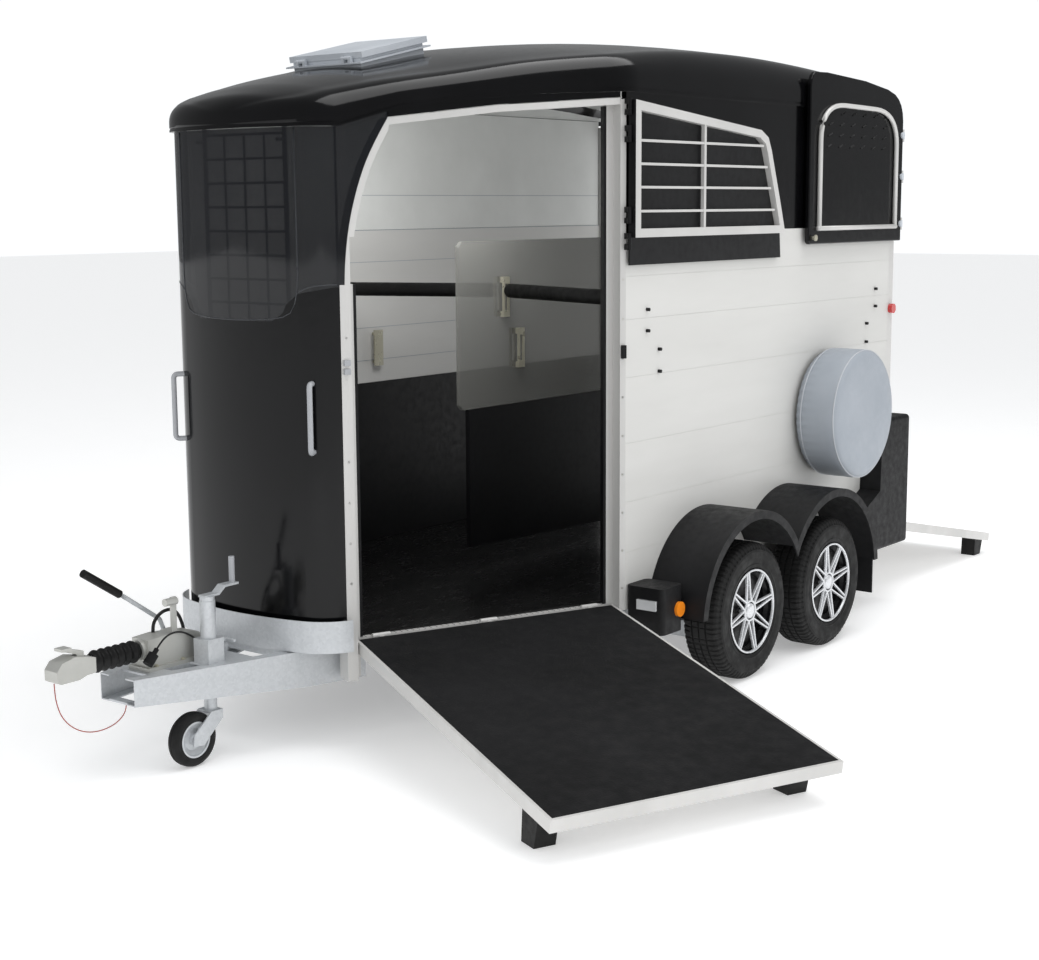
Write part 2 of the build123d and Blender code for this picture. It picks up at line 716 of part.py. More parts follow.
def rear_frame():
    """Corner posts, head arch and sill around the rear opening."""
    front = body_rear - 50
    posts = Part()
    for side in (-1, 1):
        outer = side * half_width
        inner = side * (half_width - 46)
        posts += slab(front, body_rear, min(outer, inner), max(outer, inner), wall_bottom, 2425)
        axis = (rear_hinge_x, side * rear_hinge_y)
        for z in rear_hinge_heights:
            for way in (-1, 1):
                low = z + way * (lug_half + 0.5)
                high = low + way * 20
                bottom = min(low, high)
                posts += rod((axis[0], axis[1], low), (axis[0], axis[1], high), 7.5)
                y0, y1 = sorted((side * (half_width - 6), side * (rear_hinge_y)))
                posts += slab(body_rear - 6, body_rear + 3, y0, y1, bottom, bottom + 20)
                y0, y1 = sorted((side * (rear_hinge_y - 4), side * (rear_hinge_y + 2)))
                posts += slab(body_rear, rear_hinge_x, y0, y1, bottom, bottom + 20)
            posts += rod((axis[0], axis[1], z - 12), (axis[0], axis[1], z + 12), pin_radius)
    head = end_on([(-half_width + 46, 2425), (-half_width + 46, 2360), (-650, 2462), (0, 2512), (650, 2462),
                   (half_width - 46, 2360), (half_width - 46, 2425), (half_width - 100, 2462), (650, 2506), (0, 2556),
                   (-650, 2506), (-half_width + 100, 2462)], front + 10, body_rear - 6)
    sill = slab(front, body_rear - 12, -half_width + 20, half_width - 20, floor_height - 80, floor_height - 16)
    sill += slab(front, body_rear - 12, -half_width + 46, half_width - 46, floor_height - 17, floor_height - 1)
    for y in rear_places:
        for way in (-1, 1):
            low = y + way * (lug_half + 0.5)
            high = low + way * 26
            sill += rod((body_rear, low, floor_height), (body_rear, high, floor_height), knuckle_radius)
            y0, y1 = sorted((low, high))
            sill += slab(body_rear - 13, body_rear, y0, y1, floor_height - 9, floor_height - 1)
        sill += rod((body_rear, y - 12, floor_height), (body_rear, y + 12, floor_height), pin_radius)
    return posts + head + sill


def rear_door(side, free_edge):
    """Closed rear top door with its arched inner tube, folded back along the side."""
    reach = half_width - 2
    face = body_rear + 6
    back = face + rear_door_thickness
    corner = side * reach
    outline = [(corner, rear_door_bottom), (corner, 2392), (side * 852, 2496), (side * 792, 2540),
               (side * 480, 2574)]
    if free_edge * side < 0:
        outline += [(0, 2596), (free_edge, 2594)]
    else:
        outline += [(free_edge, 2594)]
    outline += [(free_edge, rear_door_bottom)]
    door = end_on(outline, face, back)
    inner = side * 800
    top = 2440
    path = [(inner, rear_door_bottom + 70), (inner, top - 120), (inner - side * 110, top),
            (free_edge + side * 190, top), (free_edge + side * 80, top - 120), (free_edge + side * 80, rear_door_bottom + 70)]
    guard = end_on(path, face - 16, face)
    shrink = [(inner - side * 22, rear_door_bottom + 92), (inner - side * 22, top - 129),
              (inner - side * 119, top - 22), (free_edge + side * 199, top - 22),
              (free_edge + side * 102, top - 129), (free_edge + side * 102, rear_door_bottom + 92)]
    guard -= end_on(shrink, face - 20, face + 1)
    door += guard
    for z in rear_hinge_heights:
        axis_y = side * rear_hinge_y
        lug = rod((rear_hinge_x, axis_y, z - lug_half), (rear_hinge_x, axis_y, z + lug_half), 7.5)
        y0, y1 = sorted((axis_y, side * (reach - 10)))
        lug += slab(rear_hinge_x, back, y0, y1, z - lug_half, z + lug_half)
        door += lug
        door -= rod((rear_hinge_x, axis_y, z - 14), (rear_hinge_x, axis_y, z + 14), pin_radius + running_fit)
    axis = Axis((rear_hinge_x, side * rear_hinge_y, 0), (0, 0, 1))
    return door.rotate(axis, side * rear_door_fold)


# ---- side top door ----
def top_door():
    """Barred door above the side ramp, drawn closed and folded back along the side."""
    left = strip_width - 16
    outline = [(left, door_bottom), (doorway_width - 10, door_bottom), (doorway_width - 20, 1873),
               (doorway_width - 68, 2010), (doorway_width - 152, 2232), (doorway_width - 180, 2284),
               (doorway_width - 240, 2314), (left, 2402)]
    near = -(door_gap + door_thickness)
    panel = doorway_prism(outline, near, near + 6)
    frame_line = [(left, 1873)] + outline[2:]
    hole = [(left + 38, 1907), (doorway_width - 68, 1907), (doorway_width - 106, 2012),
            (doorway_width - 184, 2218), (doorway_width - 202, 2256), (doorway_width - 248, 2282), (left + 38, 2362)]
    frame = doorway_prism(frame_line, near + 6, -door_gap) - doorway_prism(hole, near, 0)
    bars = Part()
    for z in (1975, 2068, 2158, 2248):
        end = doorway_width - 80 - (z - 1907) * 0.375
        bars += doorway_prism([(left + 30, z - 5), (end, z - 5), (end, z + 5), (left + 30, z + 5)],
                              -door_gap - 16, -door_gap - 6)
    bars += doorway_prism([(520, 1900), (536, 1900), (536, 2330), (520, 2330)], -door_gap - 20, -door_gap - 4)
    frame += bars
    for z in top_hinge_heights:
        lug = rod((top_door_hinge.X, top_door_hinge.Y, z - lug_half),
                  (top_door_hinge.X, top_door_hinge.Y, z + lug_half), 8)
        lug += doorway_block(0, left + 6, -hinge_lead - 4, -hinge_lead + 4, z - lug_half, z + lug_half)
        lug -= rod((top_door_hinge.X, top_door_hinge.Y, z - 14),
                   (top_door_hinge.X, top_door_hinge.Y, z + 14), pin_radius + running_fit)
        frame += lug
    axis = Axis(top_door_hinge, (0, 0, 1))
    return [frame.rotate(axis, top_door_fold), panel.rotate(axis, top_door_fold)]


# ---- running gear ----
def tyre(x, side):
    near = side * (wheel_face + 2)
    far = near - side * tyre_width
    y0, y1 = sorted((near, far))
    body = wheel_disc(x, tyre_radius, y0, y1, tyre_radius)
    body = fillet(body.edges().filter_by(GeomType.CIRCLE), 24)
    return body - wheel_disc(x, tyre_radius, y0 - 1, y1 + 1, rim_radius + 0.3)


def rim(x, side):
    """Alloy wheel: barrel, spoked face and hub boss with its blind bearing bore."""
    outer = side * wheel_face
    inner = outer - side * 165
    y0, y1 = sorted((outer, inner))
    barrel = wheel_disc(x, tyre_radius, y0, y1, rim_radius) - wheel_disc(x, tyre_radius, y0 - 1, y1 + 1, rim_radius - 12)
    y0, y1 = sorted((outer - side * 14, outer - side * 32))
    face = wheel_disc(x, tyre_radius, y0, y1, rim_radius - 11)
    for step in range(8):
        angle = radians(22.5 + 45 * step)
        hole_x = x + 112 * cos(angle)
        hole_z = tyre_radius + 112 * sin(angle)
        face -= wheel_disc(hole_x, hole_z, y0 - 1, y1 + 1, 33)
    y0, y1 = sorted((outer - side * 10, outer - side * 118))
    boss = wheel_disc(x, tyre_radius, y0, y1, 56)
    y0, y1 = sorted((outer - side * 46, outer - side * 120))
    return barrel + face + boss - wheel_disc(x, tyre_radius, y0, y1, stub_radius + running_fit)


def axle_beams():
    """Torsion beams under the rails, each with trailing arms and wheel stubs."""
    beams = []
    top = floor_height - deck_thickness - rail_depth
    for x in (front_axle_x, rear_axle_x):
        centre = x - 150
        beam = slab(centre - beam_size / 2, centre + beam_size / 2, -half_width - 46, half_width + 46,
                    top - beam_size, top)
        beam -= slab(centre - beam_size / 2 + 6, centre + beam_size / 2 - 6, -half_width - 50, half_width + 50,
                     top - beam_size + 6, top - 6)
        for side in (-1, 1):
            y = side * (half_width + 28)
            arm = side_on([(centre - 30, top - beam_size + 4), (centre + 34, top - beam_size + 4),
                           (x + 26, tyre_radius - 26), (x + 26, tyre_radius + 26), (x - 26, tyre_radius + 30),
                           (centre - 30, top - 6)], y - 18, y + 18)
            y0, y1 = sorted((y, side * (wheel_face - 50)))
            beam += arm + wheel_disc(x, tyre_radius, y0, y1, stub_radius)
        beams.append(beam)
    return beams


def mudguard(side):
    """Moulded twin arch over the tandem wheels, with a rolled outer edge and a rear flap."""
    low = 335.0

    def arches(radius, y0, y1):
        pair = wheel_disc(front_axle_x, tyre_radius, y0, y1, radius)
        return pair + wheel_disc(rear_axle_x, tyre_radius, y0, y1, radius)

    shell = arches(guard_radius, -guard_edge, -half_width)
    shell -= arches(guard_radius - guard_wall, -guard_edge - 1, -half_width + 1)
    lip = arches(guard_radius - guard_wall + 1, -guard_edge, -guard_edge + 8)
    lip -= arches(guard_radius - guard_wall - 22, -guard_edge - 1, -guard_edge + 9)
    shell += lip
    shell -= slab(-100, 2400, -1400, -600, -400, low)
    back = rear_axle_x + guard_radius - 15
    flap = slab(back, back + 8, -guard_edge + 22, -half_width - 40, low - 165, low - 0.1)
    parts = [shell, flap]
    return parts if side < 0 else [other_side(part) for part in parts]


def lamp_mouldings():
    """Black corner mouldings for the rear lamps, and the boxes of the front marker lamps."""
    rear = side_on([(1890, 300), (body_rear - 4, 300), (body_rear - 4, 952), (2130, 952), (2080, 900),
                    (2070, 600), (1900, 520)], -half_width - 112, -half_width)
    rear = fillet(rear.edges().filter_by(Axis.X), 20)
    front = slab(6, 160, -half_width - 178, -half_width, 292, 482)
    front = fillet(front.edges().filter_by(Axis.Z), 24)
    near = [rear, front]
    return near + [other_side(part) for part in near]


rear_lamp_heights = (452.0, 532.0, 612.0, 692.0)


def lamp_lenses():
    near = []
    for z in rear_lamp_heights:
        near.append(rod((body_rear - 4, -half_width - 56, z), (body_rear + 10, -half_width - 56, z), 36))
    near.append(rod((1960, -half_width - 112, 362), (1960, -half_width - 124, 362), 31))
    near.append(rod((124, -half_width - 178, 384), (124, -half_width - 190, 384), 31))
    near.append(slab(-6, 6, -half_width - 150, -half_width - 60, 392, 432))
    near.append(rod((body_rear - 26, -half_width - 0.1, 1480), (body_rear - 26, -half_width - 22, 1480), 24))
    return near + [other_side(lens) for lens in near]


# ---- spare wheel ----
def spare_carrier():
    plate = slab(spare_x - 90, spare_x + 90, -half_width - 8, -half_width, spare_z - 90, spare_z + 90)
    return plate + rod((spare_x, -half_width - 8, spare_z), (spare_x, -half_width - 60, spare_z), 34)


def spare_wheel():
    y0 = -spare_face + cover_wall + 0.5
    y1 = -half_width - 40
    wheel = wheel_disc(spare_x, spare_z, y0, y1, tyre_radius)
    wheel = fillet(wheel.edges().filter_by(GeomType.CIRCLE), 24)
    wheel -= wheel_disc(spare_x, spare_z, y0 - 1, y1 + 1, rim_radius + 0.3)
    rim_part = wheel_disc(spare_x, spare_z, y0 + 4, y1 - 4, rim_radius)
    rim_part -= wheel_disc(spare_x, spare_z, y0, y1, rim_radius - 12)
    rim_part += wheel_disc(spare_x, spare_z, -half_width - 78, -half_width - 60, rim_radius - 11)
    return [wheel, rim_part]


def spare_cover():
    cover = wheel_disc(spare_x, spare_z, -spare_face, -half_width - 14, cover_radius)
    cover = fillet(cover.edges().filter_by(GeomType.CIRCLE).sort_by(Axis.Y)[0:1], 22)
    inner = wheel_disc(spare_x, spare_z, -spare_face + cover_wall, -half_width, cover_radius - cover_wall)
    inner = fillet(inner.edges().filter_by(GeomType.CIRCLE).sort_by(Axis.Y)[0:1], 19)
    cover -= inner
    return cover


# ---- coupling and drawbar fittings ----
def coupling_housing():
    """Overrun housing bolted on the drawbar, bored for the draw tube."""
    z0 = drawbar_top
    base = slab(housing_front, housing_rear, -56, 56, z0, z0 + 14)
    body = side_on([(housing_front + 10, z0 + 12), (housing_rear - 10, z0 + 12), (housing_rear - 10, z0 + 60),
                    (housing_rear - 90, z0 + 104), (housing_front + 90, z0 + 118), (housing_front + 10, z0 + 114)],
                   -44, 44)
    lever_seat = slab(lever_pivot[0] - 26, lever_pivot[0] + 26, 40, lever_y - 12, z0 + 12, lever_pivot[1] + 26)
    pivot = rod((lever_pivot[0], lever_y - 14, lever_pivot[1]), (lever_pivot[0], lever_y + 14, lever_pivot[1]), 9)
    body += base + lever_seat + pivot
    body += tube((housing_front - 6, 0, coupling_height), (housing_front + 14, 0, coupling_height), 38, tube_radius + 1)
    bore = rod((housing_front - 10, 0, coupling_height), (housing_rear - 20, 0, coupling_height),
               tube_radius + running_fit)
    knob_post = slab(-1632, -1608, -34, -26, z0 + 102, 616)
    knob_post += rod((-1606, -30, 600), (-1660, -30, 600), 14)
    x, y, z = conduit_route[0]
    return body + knob_post + rod((x, y, z - 12), (x, y, z), 11) - bore


def draw_tube():
    end = housing_rear - 22 - overrun * 1000
    return rod((coupling_tip + coupling_length - 2, 0, coupling_height), (end, 0, coupling_height), tube_radius)


def coupling_head():
    """Cast ball coupling with its socket opening downwards."""
    rear = coupling_tip + coupling_length
    low = coupling_height - 40
    body = side_on([(coupling_tip, low + 8), (coupling_tip + 14, low), (socket_x + 44, low), (rear - 40, low + 10),
                    (rear, low + 12), (rear, low + 66), (socket_x + 30, low + 84), (coupling_tip + 22, low + 72),
                    (coupling_tip, low + 46)], -35, 35)
    body = fillet(body.edges().filter_by(Axis.Y), 6)
    body -= rod((socket_x, 0, low - 2), (socket_x, 0, low + 34), socket_radius)
    body -= rod((rear - 22, 0, coupling_height), (rear + 5, 0, coupling_height), tube_radius + 0.02)
    slot = slab(rear - 74, rear - 22, -12.5, 12.5, low + 50, low + 100)
    body -= slot
    pin_x = rear - 44
    return body + rod((pin_x, -14, low + 66), (pin_x, 14, low + 66), 4)


def coupling_handle():
    """Lift handle pivoted in the head."""
    rear = coupling_tip + coupling_length
    low = coupling_height - 40
    pin_x = rear - 44
    arm = side_on([(pin_x - 10, low + 60), (pin_x + 10, low + 60), (pin_x + 12, low + 92), (pin_x - 74, low + 116),
                   (pin_x - 84, low + 108), (pin_x - 20, low + 86)], -12, 12)
    arm += slab(pin_x - 86, pin_x - 46, -22, 22, low + 106, low + 116)
    return arm - rod((pin_x, -20, low + 66), (pin_x, 20, low + 66), 4 + running_fit)


def bellows():
    """Rubber gaiter over the draw tube."""
    start = coupling_tip + coupling_length + 2
    end = housing_front - 8
    folds = 6
    pitch = (end - start) / folds
    points = [(start, tube_radius + 0.3)]
    for index in range(folds):
        points += [(start + pitch * index, 33), (start + pitch * (index + 0.5), 41)]
    points += [(end, 33), (end, tube_radius + 0.3)]
    profile = make_face(Polyline(*[(x, r) for x, r in points], close=True))
    plane = Plane(origin=(0, 0, coupling_height), x_dir=(1, 0, 0), z_dir=(0, -1, 0))
    return revolve(plane * profile, Axis((0, 0, coupling_height), (1, 0, 0)))


def handbrake_lever():
    """Bent lever with its moulded grip, pivoted beside the housing."""
    px, pz = lever_pivot
    y = lever_y
    points = [(px, y, pz + 8), (px - 22, y, pz + 62), (px - 170, y, pz + 166), (px - 214, y, pz + 196)]
    lever = bent_rod(points, 8.5, 26)
    hub = rod((px, y - 11, pz), (px, y + 11, pz), 20)
    lever += hub
    lever -= rod((px, y - 15, pz), (px, y + 15, pz), 9 + running_fit)
    run = Vector(-170, 0, 112).normalized()
    start = Vector(px - 200, y, pz + 186)
    grip = rod(start, start + run * 188, 15) - rod(start - run * 5, start + run * 20, 8.8)
    return lever + grip


sleeve_low = 292.0
sleeve_high = 596.0
clamp_screw_height = 68.0


def jockey_sleeve():
    """Fixed outer tube of the jockey wheel, clamped to the drawbar."""
    sleeve = tube((jockey_x, jockey_y, sleeve_low), (jockey_x, jockey_y, sleeve_high),
                  jockey_radius + sleeve_wall, jockey_radius + running_fit)
    clamp = slab(jockey_x - 38, jockey_x + 38, jockey_y - 40, jockey_y + 38, drawbar_top, drawbar_top + 90)
    clamp -= rod((jockey_x, jockey_y, 300), (jockey_x, jockey_y, 500), jockey_radius + sleeve_wall - 1)
    z = drawbar_top + clamp_screw_height
    nut = slab(jockey_x + 37, jockey_x + 62, jockey_y - 14, jockey_y + 14, z - 15, z + 15)
    nut -= rod((jockey_x + 40, jockey_y, z), (jockey_x + 70, jockey_y, z), 7 + running_fit)
    return sleeve + clamp + nut


def jockey_clamp_handle():
    x = jockey_x + 46
    z = drawbar_top + clamp_screw_height
    screw = rod((x, jockey_y, z), (x + 44, jockey_y, z), 7)
    return screw + rod((x + 38, jockey_y - 46, z), (x + 38, jockey_y + 46, z), 5.5)


def jockey_tube():
    """Inner tube with the wheel fork."""
    tube_part = tube((jockey_x, jockey_y, 184), (jockey_x, jockey_y, sleeve_high - 126), jockey_radius, 17)
    wheel_x = jockey_x - jockey_trail
    half = jockey_wheel_width / 2 + 3
    fork = slab(jockey_x - 32, jockey_x + 26, jockey_y - half - 6, jockey_y + half + 6, 184, 192)
    for y in (jockey_y - half - 6, jockey_y + half):
        fork += side_on([(wheel_x - 24, jockey_wheel_radius - 18), (wheel_x + 24, jockey_wheel_radius - 24),
                         (jockey_x + 26, 160), (jockey_x + 26, 192), (jockey_x - 30, 192),
                         (wheel_x - 18, jockey_wheel_radius + 22)], y, y + 6)
    fork += rod((wheel_x, jockey_y - half - 3, jockey_wheel_radius),
                (wheel_x, jockey_y + half + 3, jockey_wheel_radius), 8)
    return tube_part + fork


def jockey_wheel():
    half = jockey_wheel_width / 2
    x = jockey_x - jockey_trail
    wheel = wheel_disc(x, jockey_wheel_radius, jockey_y - half, jockey_y + half, jockey_wheel_radius)
    wheel = fillet(wheel.edges().filter_by(GeomType.CIRCLE), 8)
    return wheel - wheel_disc(x, jockey_wheel_radius, jockey_y - half - 1, jockey_y + half + 1, 8 + running_fit)


def jockey_crank():
    """Winding handle on top of the sleeve, with its screw inside the tube."""
    z = sleeve_high + 0.3
    crank = rod((jockey_x, jockey_y, 330), (jockey_x, jockey_y, z + 12), 8)
    crank += rod((jockey_x, jockey_y, z), (jockey_x, jockey_y, z + 16), 27)
    crank += side_on([(jockey_x - 26, z + 14), (jockey_x + 44, z + 14), (jockey_x + 74, z + 38),
                      (jockey_x + 140, z + 38), (jockey_x + 140, z + 46), (jockey_x + 70, z + 46),
                      (jockey_x + 40, z + 22), (jockey_x - 26, z + 22)], jockey_y - 18, jockey_y + 18)
    return crank + rod((jockey_x + 124, jockey_y, z + 44), (jockey_x + 124, jockey_y, z + 142), 11)


# ---- fittings on the body ----
def grab_handle():
    angle = radians(30)
    out = Vector(-cos(angle), -sin(angle), 0)
    foot = blend_centre + out * nose_corner_radius
    low = Vector(foot.X, foot.Y, 1118)
    high = Vector(foot.X, foot.Y, 1368)
    return bent_rod([low, low + out * 40, high + out * 40, high], 10, 16)


def body_fittings():
    """Grab handles, door catches, bolt ends and the tie brackets inside."""
    fittings = both_sides(grab_handle())
    for z in (1398, 1430):
        fittings.append(doorway_block(doorway_width - 32, doorway_width - 8, -12, -0.1, z, z + 20))
    fittings.append(doorway_block(3, 22, -12, -0.1, 1400, 1452))
    for x in (150, 238, 2090, 2180):
        for z in (1330, 1420, 1500, 1585):
            low_pair = z < 1450
            inner_pair = x in (238, 2090)
            if low_pair == inner_pair:
                fittings.append(rod((x, -half_width - 0.1, z), (x, -half_width - 14, z), 7))
    y = half_width - wall_thickness - 0.1
    for x in (60, 420):
        bracket = slab(x, x + 60, y - 34, y - 28, 1250, 1420)
        for z in (1262, 1396):
            bracket += slab(x + 20, x + 40, y - 30, y, z, z + 12)
        fittings.append(bracket)
    return fittings


# ---- partition, post and breast bars ----
def centre_post():
    top = 2618
    post = rod((centre_post_x, 0, floor_height + 0.1), (centre_post_x, 0, top), centre_post_radius)
    for z in (700, 1500):
        post += slab(partition_pivot - 8, centre_post_x, -14, 14, z - 40, z - 12)
        post += rod((partition_pivot, 0, z - 40), (partition_pivot, 0, z - 12), 16)
        post += rod((partition_pivot, 0, z - 14), (partition_pivot, 0, z + 60), 8)
    return post


def lower_partition():
    """Hanging kick panel below the head partition, on the same hinge tube."""
    face = side_on([(98, partition_low), (1100, partition_low - 30), (1124, partition_low - 6),
                    (1124, partition_split - 2), (98, partition_split - 2)], -11, 11)
    hinge = tube((partition_pivot, 0, 700 - 11.5), (partition_pivot, 0, partition_split - 2), 16, 8 + running_fit)
    return face + hinge + slab(1120, partition_pivot - 12, -8, 8, 760, 1100)


def head_partition():
    """Head panel with its edge handle and bar brackets."""
    face = side_on([(partition_front + 20, partition_split), (1130, partition_split - 0.5), (1150, partition_split + 20),
                    (1150, partition_top - 24), (1126, partition_top), (partition_front + 24, partition_top),
                    (partition_front, partition_top - 24), (partition_front, partition_split + 20)], -10, 10)
    hinge = tube((partition_pivot, 0, 1500 - 11.5), (partition_pivot, 0, partition_top - 20), 16, 8 + running_fit)
    panel = face + hinge + slab(1146, partition_pivot - 12, -8, 8, 1540, 1800)
    for side in (-1, 1):
        for x, z in ((bar_meet_x - 22, bar_height - 100), (bar_meet_x + 84, bar_height - 330)):
            y0, y1 = sorted((side * 9, side * 26))
            for foot in (0, 150):
                panel += slab(x, x + 44, y0, y1, z + foot - 16, z + foot + 10)
            y0, y1 = sorted((side * 20, side * 28))
            panel += slab(x, x + 44, y0, y1, z - 16, z + 160) - slab(x + 12, x + 32, -40, 40, z + 14, z + 130)
    return panel


bar_meet_x = 346.0


def bar_ends(side):
    """Wall end and partition end of a breast bar."""
    wall = in_doorway(12, post_depth + 24)
    return (wall[0] + 36, side * abs(wall[1]), bar_height), (bar_meet_x, side * 34, bar_height)


def breast_bar(side):
    """Padded bar across one stall, pivoted at the wall so that it drops when released."""
    wall, middle = bar_ends(side)
    wall = Vector(*wall)
    middle = Vector(*middle)
    run = (middle - wall).normalized()
    bar = rod(wall + run * 36, middle - run * 14, bar_radius) + rod(wall + run * 12, middle - run * 2, 8.5)
    across = Vector(-run.Y, run.X, 0)
    eye = rod(wall - across * 8, wall + across * 8, 17) - rod(wall - across * 12, wall + across * 12, 8 + running_fit)
    link = rod(wall + run * 14, wall + run * 40, 8.5)
    return bar + eye + (link - rod(wall - across * 12, wall + across * 12, 17.5))


def bar_brackets():
    """Clevises on the walls that carry the breast bars."""
    brackets = []
    for side in (-1, 1):
        wall, middle = bar_ends(side)
        wall = Vector(*wall)
        run = (Vector(*middle) - wall).normalized()
        across = Vector(-run.Y, run.X, 0)
        pin = rod(wall - across * 22, wall + across * 22, 8)
        inner_face = half_width - wall_thickness - 0.1
        for way in (-1, 1):
            centre = wall + across * (15 * way)
            ear = Plane(origin=centre, x_dir=run, z_dir=across) * Pos(0, 0, 0) * Cylinder(16, 11)
            foot = slab(centre.X - 14, centre.X + 14, min(side * inner_face, centre.Y), max(side * inner_face, centre.Y),
                        bar_height - 12, bar_height + 12)
            room = rod(wall - across * 9.3, wall + across * 9.3, 60)
            pin += ear + (foot - room)
        brackets.append(pin)
    return brackets


# ---- cables ----
def corner_radii(points):
    """Radius of the tangent arc at each inner point, as large as its two runs allow."""
    radii = []
    for before, point, after in zip(points, points[1:], points[2:]):
        first = Vector(*point) - Vector(*before)
        second = Vector(*after) - Vector(*point)
        bend = radians(first.get_angle(second))
        radii.append(0.45 * min(first.length, second.length) / tan(bend / 2))
    return radii


def cord(points, diameter):
    radii = corner_radii(points)
    path = FilletPolyline(*points, radius=radii)
    body = sweep(Plane(origin=path @ 0, z_dir=path % 0) * Circle(diameter / 2), path=path)
    share = body.volume / (3.14159265 * diameter ** 2 / 4 * path.length)
    print(f"cord {diameter} mm, length {path.length:.0f}, smallest radius {min(radii):.0f}, volume share {share:.4f}")
    return body


lighting_diameter = 7.0
lighting_route = [(-1411, -51, 392), (-1438, -51, 392), (-1464, -53, 396), (-1490, -56, 407), (-1518, -58, 426),
                  (-1546, -59, 450), (-1578, -61, 473), (-1614, -64, 490), (-1652, -68, 497), (-1688, -70, 491),
                  (-1716, -70, 474), (-1736, -70, 453)]
conduit_diameter = 13.0
conduit_route = [(-1672, 24, 487), (-1672, 24, 509), (-1660, 24, 532), (-1634, 26, 550), (-1598, 31, 556),
                 (-1562, 40, 548), (-1530, 51, 526), (-1506, 61, 494), (-1489, 68, 455), (-1480, 71, 414),
                 (-1480, 71, 384)]
breakaway_diameter = 4.0
breakaway_route = [(-1845, -24, 272), (-1845, -22, 256), (-1850, -19, 237), (-1865, -15, 218), (-1892, -10, 202),
                   (-1930, -5, 193), (-1972, -1, 193), (-2014, 0, 204), (-2052, 1, 224), (-2084, 1, 252),
                   (-2108, 1, 286), (-2122, 0, 324), (-2129, 0, 362), (-2130, 0, 402.5)]


def lighting_plug():
    """Seven-way plug on the end of the lighting cable, parked against the housing."""
    start = Vector(*lighting_route[-1])
    run = (start - Vector(*lighting_route[-2])).normalized()
    plug = rod(start, start + run * 26, 9) + rod(start + run * 22, start + run * 66, 19)
    return plug


def cable_seats():
    """Gland of the lighting cable and the lower seat of the brake conduit."""
    x, y, z = lighting_route[0]
    gland = rod((x, y, z), (x + 24, y, z), 8) + slab(x + 4, x + 20, y - 8, y + 8, drawbar_top, z)
    x, y, z = conduit_route[-1]
    return gland + rod((x, y, drawbar_top), (x, y, z), 11)


# ---- assembly ----
def nodes():
    made = {
        "chassis_frame": chassis_frame(),
        "drawbar_frame": drawbar_frame() + cable_seats(),
        "front_skirt": front_skirt(),
        "floor_deck": floor_deck(),
        "side_wall_near": side_wall_near(),
        "side_wall_off": side_wall_off(),
        "wall_linings": wall_linings(),
        "nose_shell": nose_shell(),
        "front_window": front_window(),
        "window_grille": window_grille(),
        "upper_side_panels": upper_side_panels(),
        "roof_shell": roof_shell(),
        "roof_vent_frame": vent_frame(),
        "roof_vent_lid": vent_lid(),
        "doorway_frame": doorway_frame(),
        "doorway_seal": doorway_seal(),
        "rear_frame": rear_frame(),
        "lamp_mouldings": lamp_mouldings(),
        "lamp_lenses": lamp_lenses(),
        "mudguards": mudguard(-1) + mudguard(1),
        "axle_beams": axle_beams(),
        "spare_carrier": spare_carrier(),
        "spare_wheel": spare_wheel(),
        "spare_cover": spare_cover(),
        "coupling_housing": coupling_housing(),
        "coupling_draw_tube": draw_tube(),
        "coupling_head": coupling_head(),
        "coupling_handle": coupling_handle(),
        "coupling_bellows": bellows(),
        "handbrake_lever": handbrake_lever(),
        "jockey_sleeve": jockey_sleeve(),
        "jockey_clamp_handle": jockey_clamp_handle(),
        "jockey_tube": jockey_tube(),
        "jockey_wheel": jockey_wheel(),
        "jockey_crank": jockey_crank(),
        "body_fittings": body_fittings() + bar_brackets(),
        "centre_post": centre_post(),
        "lower_partition": lower_partition(),
        "head_partition": head_partition(),
        "breast_bar_near": breast_bar(-1),
        "breast_bar_off": breast_bar(1),
        "side_ramp": side_ramp(),
        "side_ramp_mat": side_ramp_mat(),
        "rear_ramp": rear_ramp(),
        "side_top_door": top_door(),
        "rear_door_near": rear_door(-1, rear_door_split - 2),
        "rear_door_off": rear_door(1, rear_door_split + 2),
        "lighting_cable": cord(lighting_route, lighting_diameter),
        "lighting_plug": lighting_plug(),
        "brake_conduit": cord(conduit_route, conduit_diameter),
        "breakaway_cable": cord(breakaway_route, breakaway_diameter),
    }
    for name, x in (("front", front_axle_x), ("rear", rear_axle_x)):
        for word, side in (("near", -1), ("off", 1)):
            made[f"tyre_{name}_{word}"] = tyre(x, side)
            made[f"rim_{name}_{word}"] = rim(x, side)
    return made


cord_nodes = ("lighting_cable", "lighting_plug", "brake_conduit", "breakaway_cable")


def solids_of(shape):
    pieces = shape if isinstance(shape, list) else [shape]
    return [solid for piece in pieces for solid in piece.solids()]


def footprint_centre(parts):
    """Middle of the footprint, measured without the free cables."""
    boxes = [solid.bounding_box() for name, group in parts.items() if name not in cord_nodes for solid in group]
    low_x = min(box.min.X for box in boxes)
    high_x = max(box.max.X for box in boxes)
    low_y = min(box.min.Y for box in boxes)
    high_y = max(box.max.Y for box in boxes)
    return Vector((low_x + high_x) / 2, (low_y + high_y) / 2, min(box.min.Z for box in boxes))


parts = {name: solids_of(shape) for name, shape in nodes().items()}
origin = footprint_centre(parts)
print(f"origin {origin.X:.3f} {origin.Y:.3f} {origin.Z:.3f}")
os.makedirs("parts", exist_ok=True)
for name, group in parts.items():
    shape = Compound(children=group) if len(group) > 1 else group[0]
    export_step(Pos(-origin.X, -origin.Y, -origin.Z) * shape, f"parts/{name}.step")
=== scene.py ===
"""Looks for the twin-axle horse trailer: paint, planks, rubber, zinc and the soft and detailed pieces."""
from math import asin, cos, pi, radians, sin, sqrt

import bmesh
import bpy
from mathutils import Matrix, Vector


